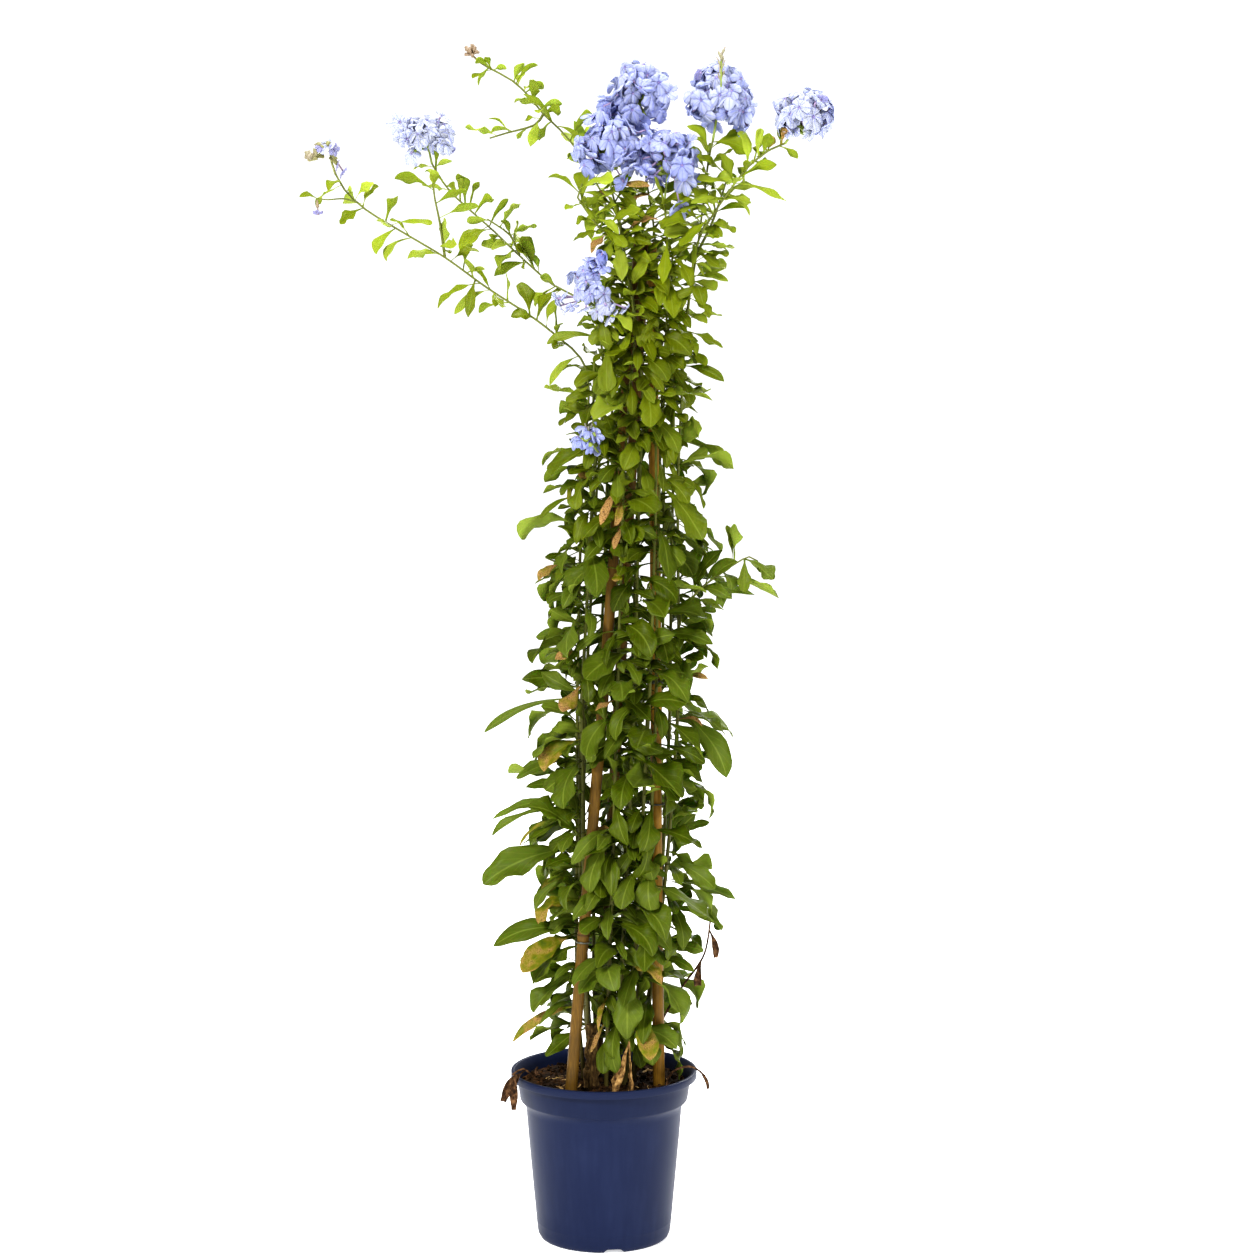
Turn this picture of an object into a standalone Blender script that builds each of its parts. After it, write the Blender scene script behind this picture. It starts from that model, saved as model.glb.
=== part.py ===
import math
import random

import bmesh
import bpy
from mathutils import Vector
from mathutils.bvhtree import BVHTree

# A potted cape leadwort trained up three bamboo canes, in metres, +Z up.
# The origin is the centre of the pot's underside, and the front of the plant faces -Y.

MM = 0.001
GAP = 0.3 * MM
WELD = 0.01 * MM
FINE_WELD = 0.0005 * MM
TURN_STEPS = 24
SHARP_FROM = 35
SOIL_SHARP_FROM = 60

# The pot: a 17 cm nursery pot.
RIM_RADIUS = 85 * MM
RIM_INNER_RADIUS = 82 * MM
POT_HEIGHT = 155 * MM
LIP_HEIGHT = 7 * MM
COLLAR_TOP = (79 * MM, 146 * MM)
COLLAR_FOOT = (76.5 * MM, 127 * MM)
WALL_TOP = (71 * MM, 119 * MM)
WALL_FOOT = (61.5 * MM, 12 * MM)
FOOT_CURVE = (59.8 * MM, 3 * MM)
FOOT_RADIUS = 57.5 * MM
POT_WALL = 1.8 * MM
POT_FLOOR = 2.5 * MM
RIM_BEVEL = (0.8 * MM, 1 * MM)
NOTCHES = 4
NOTCH_TURN = math.radians(9)
NOTCH_FOOT_WIDTH = 23 * MM
NOTCH_TOP_WIDTH = 15 * MM
NOTCH_HEIGHT = 4 * MM
NOTCH_REACH = 14 * MM
NOTCH_OUT = 1 * MM

# The soil: it fills the pot to a little under the rim.
SOIL_TOP = 144 * MM
SOIL_MOUND = 2.5 * MM
SOIL_ROUGHNESS = 1.3 * MM
SOIL_LINE = 152
SOIL_RINGS = (24 * MM, 54 * MM)
SOIL_EDGE = (0.4 * MM, 2 * MM)
SOIL_FOOT_ROOM = 1 * MM
SOIL_LEVEL_EDGE = 6 * MM
SOIL_GAP = GAP * 1.5
SOIL_SEED = 5
HOLE_DEPTH = 14 * MM
FOOT_HEIGHT = (SOIL_TOP - HOLE_DEPTH + GAP) / MM
CANE_HOLE_DEPTH = 20 * MM
CANE_HOLE_SIDES = 6
STEM_HOLE_SIDES = 4
HOLE_ROOM = {CANE_HOLE_SIDES: 1.16, STEM_HOLE_SIDES: 1.42}

# The canes: foot and top of each, and the radius at each end.
CANES = {
    "cane_left": ((-29, -55), (31.5, -4)),
    "cane_right": ((50, -18), (43.5, -4.5)),
    "cane_back": ((-7, 50), (37.5, 7)),
}
CANE_TOP = 904 * MM
CANE_RADIUS = (5.4 * MM, 4.5 * MM)
CANE_KNUCKLES = (0.21, 0.44, 0.66, 0.87)
KNUCKLE_RISE = 0.6 * MM
KNUCKLE_HALF = 3 * MM
CANE_SIDES = 8
CANE_CLEAR = 1.2 * MM
CANE_STRETCHES = 12

# The column of stems: at each height, the centre in X and the half width and half depth.
COLUMN = (
    (120, 6, 21, 19),
    (200, 9, 30, 26),
    (300, 13, 38, 33),
    (500, 20, 44, 38),
    (700, 26, 41, 34),
    (850, 34, 31, 27),
    (950, 38, 22, 20),
)
COLUMN_RISE = 70
COLUMN_WOBBLE = 2.2
COLUMN_WAVE = 95

# Each stem: its angle round the column, its reach, its top in the column and its route from there.
STEMS = {
    "stem_front_left": (-100, 1.0, 860, [(15, -28, 898), (-3, -36, 916), (-16, -40, 933), (-22, -42, 942),
                                         (-18, -44, 954)]),
    "stem_front_mid": (-79, 0.86, 800, [(27, -24, 850), (18, -24, 900), (10, -24, 940), (7, -23, 952)]),
    "stem_front_right": (-62, 1.04, 740, [(46, -24, 790), (49, -22, 840)]),
    "stem_right_front": (-46, 0.9, 820, [(58, -18, 870), (57, -20, 905), (54, -20, 938)]),
    "stem_right_low": (-3, 1.05, 760, [(72, -8, 810), (76, -12, 850), (82, -16, 900), (95, -20, 925),
                                       (110, -24, 947), (127, -26, 969), (146, -28, 984), (160, -28, 990)]),
    "stem_right_tall": (17, 0.98, 740, [(64, 8, 791), (71, 7, 820), (76, 6, 852), (83, 2, 894), (89, -3, 940),
                                        (93, -7, 975), (97, -9, 994)]),
    "stem_right_back": (40, 0.92, 800, [(60, 18, 850), (62, 17, 900)]),
    "stem_back_right": (62, 1.05, 860, [(46, 17, 910), (40, 13, 950), (35, 9, 985), (34, 6, 1005)]),
    "stem_back": (82, 0.9, 700, [(33, 30, 760), (36, 28, 800)]),
    "stem_back_left": (124, 1.02, 860, [(18, 22, 912), (-3, 26, 952), (-21, 30, 984), (-39, 34, 1006),
                                        (-54, 36, 1020), (-66, 38, 1035), (-82, 40, 1050), (-104, 42, 1062),
                                        (-112, 42, 1067)]),
    "stem_left_back": (148, 0.95, 790, [(-6, 15, 838), (-23, 18, 856), (-46, 24, 868), (-76, 34, 894),
                                        (-98, 40, 915), (-115, 44, 930), (-133, 46, 946), (-145, 46, 960),
                                        (-155, 44, 977)]),
    "stem_left": (170, 1.05, 720, [(-13, -6, 775), (-20, -12, 802), (-38, -20, 819), (-62, -28, 838),
                                   (-102, -38, 864), (-138, -46, 890), (-175, -52, 912), (-206, -56, 931),
                                   (-224, -58, 948), (-232, -58, 962)]),
    "stem_left_front": (192, 0.9, 700, [(-9, -10, 750), (-8, -12, 800)]),
    "stem_front_bloom": (216, 1.04, 760, [(5, -21, 800), (2, -29, 822), (-2, -38, 836), (-6, -42, 846)]),
}
COLUMN_FOOT = 134
STEM_RADIUS = (2.3 * MM, 0.9 * MM)
STEM_TAPER_TOP = 900 * MM

# How finely routes are drawn: the step along the smooth curve, and the slack that a point may save.
STEM_FINENESS = (12 * MM, 0.8 * MM)
TWIG_FINENESS = (8 * MM, 0.6 * MM)
DEAD_FINENESS = (8 * MM, 0.5 * MM)

# Side twigs: the stem that carries each, its route and its radius.
TWIGS = {
    "fork_low": ("stem_left", [(-138, -46, 890), (-142, -50, 920), (-146, -52, 940), (-148, -54, 956)]),
    "fork_mid": ("stem_left_back", [(-76, 34, 894), (-84, 30, 912), (-104, 22, 926)]),
    "fork_top": ("stem_back_left", [(-54, 36, 1020), (-62, 34, 1010), (-86, 30, 1003), (-102, 28, 998)]),
    "twig_right": ("stem_right_low", [(64, -3, 560), (74, -8, 579), (86, -14, 596), (105, -20, 611),
                                      (118, -22, 620), (130, -22, 626), (138, -22, 622)]),
    "twig_bloom": ("stem_front_left", [(19, -33, 700), (8, -38, 711), (-3, -42, 718)]),
    "twig_left": ("stem_left", [(-25, 5, 612), (-38, -2, 618), (-52, -6, 624)]),
    "twig_high": ("stem_right_tall", [(83, 2, 894), (96, 2, 920), (106, 4, 948), (112, 4, 968)]),
}
TWIG_RADIUS = (1.3 * MM, 0.7 * MM)

# Leaves by height: spacing along the stem, length and width, from the foot of the plant to its top.
LEAF_SIZES = (
    (180, 46, 66, 27),
    (350, 49, 66, 27),
    (550, 48, 61, 24),
    (750, 42, 52, 20),
    (900, 29, 39, 15),
    (1080, 24, 29, 11),
)
LEAF_FROM = 190
LEAF_KEEL = 0.9 * MM
PETIOLE_HALF = 0.8 * MM
PETIOLE_SHARE = 0.12
OUTLINE_BASE = 1.1
OUTLINE_TIP = 0.45
OUTLINE_PEAK = 0.393
EDGE_RISE = 0.24
EDGE_WAVE = 0.2
EDGE_WAVES = 11
EDGE_SHIFT = 1.3
FACE_AT = 0.6
LEAST_BEND = 0.02
ROLL_RAMP = 3
LONG_LEAF = 60 * MM
MIDDLING_LEAF = 42 * MM
STATIONS = ((0.14, 0.4, 0.65, 0.88), (0.3, 0.58, 0.86), (0.42, 0.82))
LEAF_TRIES = 26
MOST_ROLL = 1.25
CLEAR = 0.7 * MM
PHYLLOTAXIS = 137.5

# What a leaf keeps clear of: a ring round the rim, and the soil's surface.
RIM_CLEAR = 3 * MM
INNER_RIM_CLEAR = 4 * MM
OVER_RIM = 2 * MM
OVER_SOIL = 7 * MM

# How a leaf's place, size and bend are drawn: a range each, angles in radians.
ARCH = (0.25, 0.5)
ARCH_LENGTH = 1 / 6
WAVE_START = (0, 6)
FRONT_ASIDE = (-0.5, 0.5)
FRONT_UP = (0.2, 1.1)
FRONT_SHARE = (0.75, 1.0)
BACK_FROM = 20 * MM
COLUMN_LEAF = {
    "turn share": 0.5,
    "turn": (-0.4, 0.4),
    "droop": (0.8, 1.6),
    "first": (-0.3, 0.7),
    "twist": (-0.4, 0.4),
    "sway": (-0.12, 0.12),
    "light aside": (-0.4, 0.4),
    "light up": (0.2, 1.2),
    "facing": (0.6, 1.0),
}
BRANCH_LEAF = {
    "upward": 0.35,
    "onward": (0.2, 0.9),
    "droop": (0.2, 0.9),
    "roll": (-0.7, 0.7),
    "twist": (-0.4, 0.4),
    "sway": (-0.15, 0.15),
    "length": 0.86,
    "width": 0.9,
}
FIRST_LEAF = 9 * MM
FIRST_LEAF_SPREAD = (0, 14)
LAST_LEAF = 4 * MM
ROOM_FROM_SEEN = 11 * MM
STEP_PAST_SEEN = 6 * MM
LEAF_SCALE = (0.75, 1.2)
LEAF_SHRINK = 0.014
LEAF_TURN = (-0.1, 0.1)
LEAF_WIDTH = (0.85, 1.15)
LEAF_SPACING = (0.8, 1.2)

# A direction that no stem or cane runs in, to set off the sides of a plain tube.
ODD_WAY = Vector((0.31, 0.95, 0.02))

# The photo's own view, used only to place what it shows: its eye, how far it looks down,
# its focal length in pixels and its middle pixel.
VIEW_EYE = Vector((0.022, -2.6, 0.818))
VIEW_DROP = math.atan2(0.258, 2.6)
VIEW_FOCAL = 2900
VIEW_MIDDLE = 628

# How a seen leaf finds its stem: heights to try, the room round another root, and what costs how much.
ROOT_DROPS = (0, -9 * MM, 9 * MM, -17 * MM)
ROOT_ROOM = 9 * MM
BEHIND_COST = 0.5
DROP_COST = 0.4
CROWD_COST = 14 * MM
BACK_STEM = (12 * MM, 60 * MM)
BACK_COST = 30 * MM
ROOT_FRONT = (34, 0.55)
SEEN_TRIES = 16
SEEN_PUSH = 1.5
SEEN_SHRINK = 0.02

# Leaves that the photo shows: pixel of the root, pixel of the tip, width in pixels,
# and how far in front of the pot's centre the tip hangs, in millimetres.
SEEN_LEAVES = (
    (556, 850, 483, 884, 30, 24), (577, 842, 531, 802, 24, 40), (540, 806, 494, 820, 9, 20),
    (540, 812, 493, 840, 9, 34), (573, 862, 545, 868, 13, 44), (574, 874, 530, 910, 11, 14),
    (573, 900, 532, 916, 18, 36), (560, 928, 490, 940, 24, 24), (580, 937, 523, 974, 24, 50),
    (566, 966, 532, 1012, 21, 30), (598, 925, 656, 950, 24, 74), (653, 962, 611, 1003, 20, 72),
    (598, 986, 624, 968, 14, 66), (656, 806, 648, 856, 20, 66), (664, 868, 648, 908, 25, 64),
    (598, 838, 586, 892, 22, 66), (682, 862, 716, 890, 19, 30), (683, 880, 734, 902, 14, 14),
    (680, 910, 725, 923, 14, 26), (674, 905, 688, 947, 17, 44), (668, 958, 703, 951, 12, 30),
    (618, 1018, 611, 1074, 21, 76), (646, 1010, 642, 1066, 24, 72), (572, 1030, 547, 1058, 16, 44),
    (560, 1006, 513, 1042, 10, 30), (572, 1008, 532, 1018, 9, 50), (608, 996, 630, 1030, 20, 58),
    (676, 808, 699, 810, 15, 34), (686, 846, 710, 822, 8, 10), (630, 792, 600, 800, 11, 62),
    (632, 757, 678, 801, 30, 68), (600, 745, 660, 752, 17, 56), (600, 548, 599, 600, 26, 76),
    (596, 608, 594, 632, 13, 62), (582, 606, 546, 600, 12, 34), (590, 588, 563, 608, 14, 46),
    (566, 688, 522, 680, 20, 12), (566, 697, 484, 732, 8, 14), (582, 684, 564, 714, 17, 52),
    (597, 714, 583, 757, 21, 66), (580, 738, 541, 770, 23, 34), (566, 758, 517, 780, 9, 22),
    (573, 775, 547, 790, 19, 44), (572, 612, 562, 662, 13, 34), (606, 660, 641, 684, 12, 66),
    (626, 664, 668, 634, 19, 60), (664, 636, 712, 643, 14, 44), (684, 652, 684, 696, 21, 42),
    (640, 684, 634, 705, 13, 64), (603, 706, 650, 722, 17, 66), (684, 712, 729, 777, 27, 26),
    (664, 540, 681, 565, 17, 54), (662, 552, 627, 562, 13, 62), (632, 578, 681, 603, 21, 62),
    (686, 600, 722, 550, 15, 22), (688, 598, 733, 587, 14, 30), (690, 602, 716, 612, 8, 10),
    (668, 484, 702, 541, 24, 46), (688, 652, 706, 660, 13, 30), (690, 682, 708, 680, 8, 20),
    (600, 372, 575, 383, 15, 42), (580, 356, 549, 385, 8, 20), (592, 340, 546, 341, 11, 30),
    (600, 394, 566, 402, 13, 34), (590, 404, 566, 424, 8, 22), (588, 444, 552, 476, 25, 38),
    (594, 490, 559, 490, 14, 34), (570, 496, 540, 518, 6, 16), (584, 498, 576, 544, 13, 40),
    (611, 412, 613, 437, 15, 60), (606, 432, 602, 451, 11, 56), (640, 440, 626, 468, 19, 60),
    (640, 402, 648, 425, 19, 56), (632, 380, 654, 404, 13, 54), (648, 302, 606, 293, 13, 50),
    (646, 311, 624, 328, 12, 48), (655, 336, 690, 354, 22, 40), (690, 334, 698, 356, 9, 16),
    (684, 324, 707, 324, 9, 20), (696, 298, 712, 316, 13, 16), (694, 282, 716, 290, 14, 12),
    (700, 276, 728, 282, 9, 4), (690, 262, 706, 276, 12, 4), (684, 366, 724, 382, 11, 18),
    (690, 398, 668, 419, 14, 30), (664, 424, 676, 464, 12, 40), (668, 482, 695, 490, 11, 34),
    (671, 284, 673, 319, 18, 46), (672, 272, 652, 268, 13, 40), (632, 368, 660, 373, 8, 50),
    (660, 610, 652, 622, 10, 54), (620, 520, 632, 545, 15, 60), (650, 500, 630, 512, 12, 56),
    (650, 560, 668, 575, 13, 20), (707, 566, 722, 548, 12, 24), (738, 556, 728, 526, 11, 24),
    (740, 558, 744, 592, 13, 30), (752, 558, 772, 580, 11, 22), (574, 562, 545, 557, 8, 10),
    (648, 326, 652, 362, 15, 46), (612, 352, 634, 342, 13, 50), (612, 252, 608, 288, 18, 48),
    (650, 250, 640, 285, 14, 42), (668, 250, 660, 280, 14, 40), (600, 325, 592, 345, 12, 44),
    (640, 462, 650, 492, 14, 52),
    (622, 470, 616, 505, 14, 56), (636, 498, 655, 515, 13, 50), (612, 326, 606, 352, 14, 50),
    (638, 344, 616, 372, 14, 52), (660, 350, 672, 374, 12, 40), (640, 420, 618, 428, 12, 54),
)

# Flower heads: centre, half width, depth and height, number of florets and their size across.
BLOOMS = {
    "bloom_a": ((-160, 42, 1001), (26, 24, 18), 7, 26),
    "bloom_b": ((-238, -60, 982), (12, 12, 11), 3, 17),
    "bloom_c1": ((33, 2, 1036), (26, 26, 26), 9, 31),
    "bloom_c2": ((6, -24, 986), (29, 28, 26), 10, 31),
    "bloom_c3": ((58, -22, 976), (27, 27, 28), 9, 31),
    "bloom_d": ((103, -10, 1030), (28, 28, 30), 10, 31),
    "bloom_e": ((177, -28, 1014), (24, 24, 20), 7, 28),
    "bloom_f": ((-12, -48, 866), (24, 19, 32), 8, 27),
    "bloom_g": ((-13, -46, 732), (12, 11, 13), 3, 20),
    "bloom_h": ((-118, 42, 1073), (6, 6, 6), 0, 0),
}
CORE_SHARE = 0.42
STALK_RADIUS = 1.1 * MM
FLORET_DEPTH = 1.4 * MM
GOLDEN_TURN = math.pi * (3 - math.sqrt(5))
PETALS = 5
NECK_SHARE = 0.13
NECK_TURNS = (0.5, 2.5, 4)
PETAL_TURN = 0.24
PETAL_CUP = 0.1
NOTCH_SHARE = 0.42
NOTCH_LIFT = 0.2
HEAD_SPAN = 1.72
FLORET_TURN = (0, 0.5)
FLORET_ASIDE = (-0.3, 0.3)
FLORET_UP = (-0.1, 0.35)
THROAT_SHARE = (0.8, 0.94)
ROOT_SHARE = 0.5
FLORET_SPIN = (0, 1.2)
FLORET_TRIES = 9
FLORET_SHIFT = 0.9 * MM
FLORET_SHRINK = 0.045
FLORET_RESPIN = 0.3

# Dead growth: foot in the soil, route and withered leaves (share of the route, tip, width).
DEAD_STEMS = {
    "dead_stem": ([(47, 12, 136), (49, 10, 179), (54, 2, 201), (71, -6, 232), (91, -10, 263), (97, -12, 299)],
                  [(0.55, (78, -12, 216), 7), (0.8, (86, -16, 236), 8), (0.93, (101, -18, 262), 6)]),
    "dead_sprig_left": ([(-56, -34, 134), (-62, -38, 156), (-72, -44, 166), (-82, -50, 162)],
                        [(0.74, (-90, -52, 138), 12), (0.95, (-80, -66, 134), 9), (0.5, (-60, -52, 166), 9)]),
    "dead_leaf_front": ([(22, -58, 134), (24, -62, 160), (23, -64, 196)],
                        [(0.97, (16, -73, 145), 9), (0.7, (26, -71, 149), 5)]),
    "dead_twig_right": ([(58, -30, 134), (66, -34, 163), (80, -41, 167), (91, -45, 160)],
                        [(0.9, (94, -46, 148), 5)]),
}
DEAD_RADIUS = (1.4 * MM, 0.8 * MM)

# The woody foot of the plant, and the ties.
CROWN_PLACE = (-11, -27)
CROWN_TOP = 206 * MM
CROWN_RADIUS = 7.5 * MM
CROWN_SIDES = 8
CROWN_RINGS = 7
CROWN_BEVEL = 4 * MM
CROWN_TAPER = (0.55, 0.4)
CROWN_ROOM = 1.3
KNOT_FROM = 3 * MM
KNOTS = ((3, 190, 0.16), (5, 0, 0.08))
TIES = {
    "tie_left": ("cane_left", 282, 0.8),
    "tie_right": ("cane_right", 402, 0.8),
    "clip_right": ("cane_right", 513, 1.5),
}
TOP_TIE_HEIGHT = 892
TOP_TIE_THICK = 0.9 * MM
TIE_SIDES = (8, 4)


def metres(point):
    return Vector(point) * MM


def make_material(name, color, roughness, metallic=0.0):
    material = bpy.data.materials.new(name)
    material.use_nodes = True
    shader = material.node_tree.nodes["Principled BSDF"]
    shader.inputs["Base Color"].default_value = (*color, 1.0)
    shader.inputs["Roughness"].default_value = roughness
    shader.inputs["Metallic"].default_value = metallic
    material.diffuse_color = (*color, 1.0)
    return material


def make_object(name, data, collection, material=None):
    thing = bpy.data.objects.new(name, data)
    collection.objects.link(thing)
    if material:
        data.materials.append(material)
    return thing


def from_bmesh(name, shape, collection, material=None):
    mesh = bpy.data.meshes.new(name)
    shape.to_mesh(mesh)
    shape.free()
    return make_object(name, mesh, collection, material)


def shade(thing, degrees=SHARP_FROM):
    thing.data.shade_smooth()
    thing.data.set_sharp_from_angle(angle=math.radians(degrees))


def turned(name, profile, steps, collection, material=None):
    # The profile of (radius, height) runs down the outer side, and its ends lie on the axis.
    shape = bmesh.new()
    points = [shape.verts.new((radius, 0, height)) for radius, height in profile]
    for upper, lower in zip(points, points[1:]):
        shape.edges.new((upper, lower))
    thing = from_bmesh(name, shape, collection, material)
    screw = thing.modifiers.new("Turn", "SCREW")
    screw.steps = steps
    screw.render_steps = steps
    screw.use_merge_vertices = True
    screw.merge_threshold = WELD
    return thing


def evaluated_mesh(thing):
    graph = bpy.context.evaluated_depsgraph_get()
    return bpy.data.meshes.new_from_object(thing.evaluated_get(graph), depsgraph=graph)


def settle(thing):
    # The object's modifiers become its mesh.
    mesh = evaluated_mesh(thing)
    old = thing.data
    thing.modifiers.clear()
    thing.data = mesh
    bpy.data.meshes.remove(old)


def tube(name, path, radii, collection, material=None, roundness=1):
    # A tube along a path, as a curve made into a mesh with its caps welded on.
    curve = bpy.data.curves.new(name, "CURVE")
    curve.dimensions = "3D"
    curve.bevel_depth = 1.0
    curve.bevel_resolution = roundness
    curve.use_fill_caps = True
    spline = curve.splines.new("POLY")
    spline.points.add(len(path) - 1)
    for point, place, radius in zip(spline.points, path, radii):
        point.co = (*place, 1.0)
        point.radius = radius
    source = make_object(name + "_route", curve, collection)
    shape = bmesh.new()
    shape.from_mesh(evaluated_mesh(source))
    bmesh.ops.remove_doubles(shape, verts=shape.verts, dist=WELD)
    bpy.data.objects.remove(source)
    bpy.data.curves.remove(curve)
    return from_bmesh(name, shape, collection, material)


def drop_scraps(thing):
    # Keeps the largest body of a joined mesh: loose scraps and sealed hollows go.
    shape = bmesh.new()
    shape.from_mesh(thing.data)
    bmesh.ops.remove_doubles(shape, verts=shape.verts, dist=FINE_WELD)
    left = set(shape.faces)
    bodies = []
    while left:
        body = {left.pop()}
        border = set(body)
        while border:
            border = {face for old in border for edge in old.edges for face in edge.link_faces} - body
            body |= border
        left -= body
        bodies.append(body)
    bodies.sort(key=len, reverse=True)
    for body in bodies[1:]:
        bmesh.ops.delete(shape, geom=list(body), context="FACES")
    shape.to_mesh(thing.data)
    shape.free()


def fuse(core, repeats):
    # One union joins a node's repeats to the piece that they grow from.
    group = bpy.data.collections.new(core.name + "_repeats")
    bpy.context.scene.collection.children.link(group)
    for piece in repeats:
        for owner in list(piece.users_collection):
            owner.objects.unlink(piece)
        group.objects.link(piece)
    union = core.modifiers.new("Join the repeats", "BOOLEAN")
    union.operation = "UNION"
    union.operand_type = "COLLECTION"
    union.collection = group
    union.solver = "EXACT"
    settle(core)
    for piece in repeats:
        bpy.data.objects.remove(piece)
    bpy.data.collections.remove(group)
    drop_scraps(core)


# Routes and places on them

def smooth_route(points, step):
    # Points about a step apart on a smooth curve through the route's own points.
    ends = [points[0] * 2 - points[1]] + list(points) + [points[-1] * 2 - points[-2]]
    path = []
    for before, start, end, after in zip(ends, ends[1:], ends[2:], ends[3:]):
        count = max(1, round((end - start).length / step))
        for index in range(count):
            t = index / count
            bend = (before * -1 + start * 3 - end * 3 + after) * t ** 3
            bow = (before * 2 - start * 5 + end * 4 - after) * t ** 2
            path.append((bend + bow + (end - before) * t + start * 2) / 2)
    path.append(points[-1].copy())
    return path


def plainer(path, slack):
    # Keeps only the points that the route's shape needs.
    if len(path) < 3:
        return list(path)
    chord = path[-1] - path[0]
    offs = [((p - path[0]) - (p - path[0]).project(chord)).length for p in path]
    widest = max(range(len(path)), key=lambda index: offs[index])
    if offs[widest] < slack:
        return [path[0], path[-1]]
    return plainer(path[:widest + 1], slack)[:-1] + plainer(path[widest:], slack)


def between(table, height, column):
    # A value read from a table of rows that start with a height in millimetres.
    for low, high in zip(table, table[1:]):
        if height <= high[0]:
            share = max(0.0, (height - low[0]) / (high[0] - low[0]))
            return low[column] + (high[column] - low[column]) * share
    return table[-1][column]


def column_point(angle, reach, height, phase):
    centre, half_width, half_depth = (between(COLUMN, height, index) for index in (1, 2, 3))
    sway = COLUMN_WOBBLE * math.sin(height / COLUMN_WAVE + phase)
    across = (half_width * reach + sway) * math.cos(angle)
    deep = (half_depth * reach + sway) * math.sin(angle)
    return Vector((centre + across, deep, height))


def rooted_route(points, step):
    # A route whose foot stands upright in its hole in the soil, up to the soil line.
    across, deep = points[0][:2]
    upright = [(across, deep, FOOT_HEIGHT), (across, deep, SOIL_LINE)]
    return smooth_route([metres(point) for point in upright + list(points[1:])], step)


def stem_route(name):
    degrees, reach, top, onward = STEMS[name]
    angle = math.radians(degrees)
    heights = range(COLUMN_FOOT, top + 1, COLUMN_RISE)
    points = [column_point(angle, reach, height, degrees) for height in heights] + onward
    step, slack = STEM_FINENESS
    return plainer(rooted_route(points, step), slack)


def dead_route(name):
    step, slack = DEAD_FINENESS
    return plainer(rooted_route(DEAD_STEMS[name][0], step), slack)


def twig_route(name):
    owner, points = TWIGS[name]
    step, slack = TWIG_FINENESS
    path = plainer(smooth_route([metres(point) for point in points], step), slack)
    carrier = stem_route(owner)
    path[0] = nearest_on(carrier, path[0])
    return path


def nearest_on(path, place):
    best = None
    for start, end in zip(path, path[1:]):
        share = max(0.0, min(1.0, (place - start).dot(end - start) / (end - start).length_squared))
        spot = start.lerp(end, share)
        if best is None or (spot - place).length < (best - place).length:
            best = spot
    return best


def taper(path, radii, top=None):
    # Radii that shrink along a path, or with height up to a top.
    if top:
        shares = [min(1.0, max(0.0, place.z / top)) for place in path]
    else:
        shares = [index / (len(path) - 1) for index in range(len(path))]
    return [radii[0] + (radii[1] - radii[0]) * share for share in shares]


def walk(path, distance):
    # The place and heading at a distance along a path.
    for start, end in zip(path, path[1:]):
        length = (end - start).length
        if distance <= length:
            return start.lerp(end, distance / length), (end - start).normalized()
        distance -= length
    return path[-1].copy(), (path[-1] - path[-2]).normalized()


def path_length(path):
    return sum((end - start).length for start, end in zip(path, path[1:]))


# Blades and florets, as points and triangles

def tube_faces(path, radii, sides=6):
    # A plain tube, used to see what a leaf would touch.
    points, faces = [], []
    for index, place in enumerate(path):
        ahead = path[min(index + 1, len(path) - 1)] - path[max(index - 1, 0)]
        side = ahead.cross(ODD_WAY).normalized()
        other = ahead.cross(side).normalized()
        for step in range(sides):
            angle = math.tau * step / sides
            points.append(place + (side * math.cos(angle) + other * math.sin(angle)) * radii[index])
    for index in range(len(path) - 1):
        for step in range(sides):
            a, b = index * sides + step, index * sides + (step + 1) % sides
            faces += [(a, b, b + sides), (a, b + sides, a + sides)]
    return points, faces


def outline(share):
    # Half width of a blade as a share of its widest: tapered at the base, blunt at the tip.
    return share ** OUTLINE_BASE * (1 - share) ** OUTLINE_TIP / OUTLINE_PEAK


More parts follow.
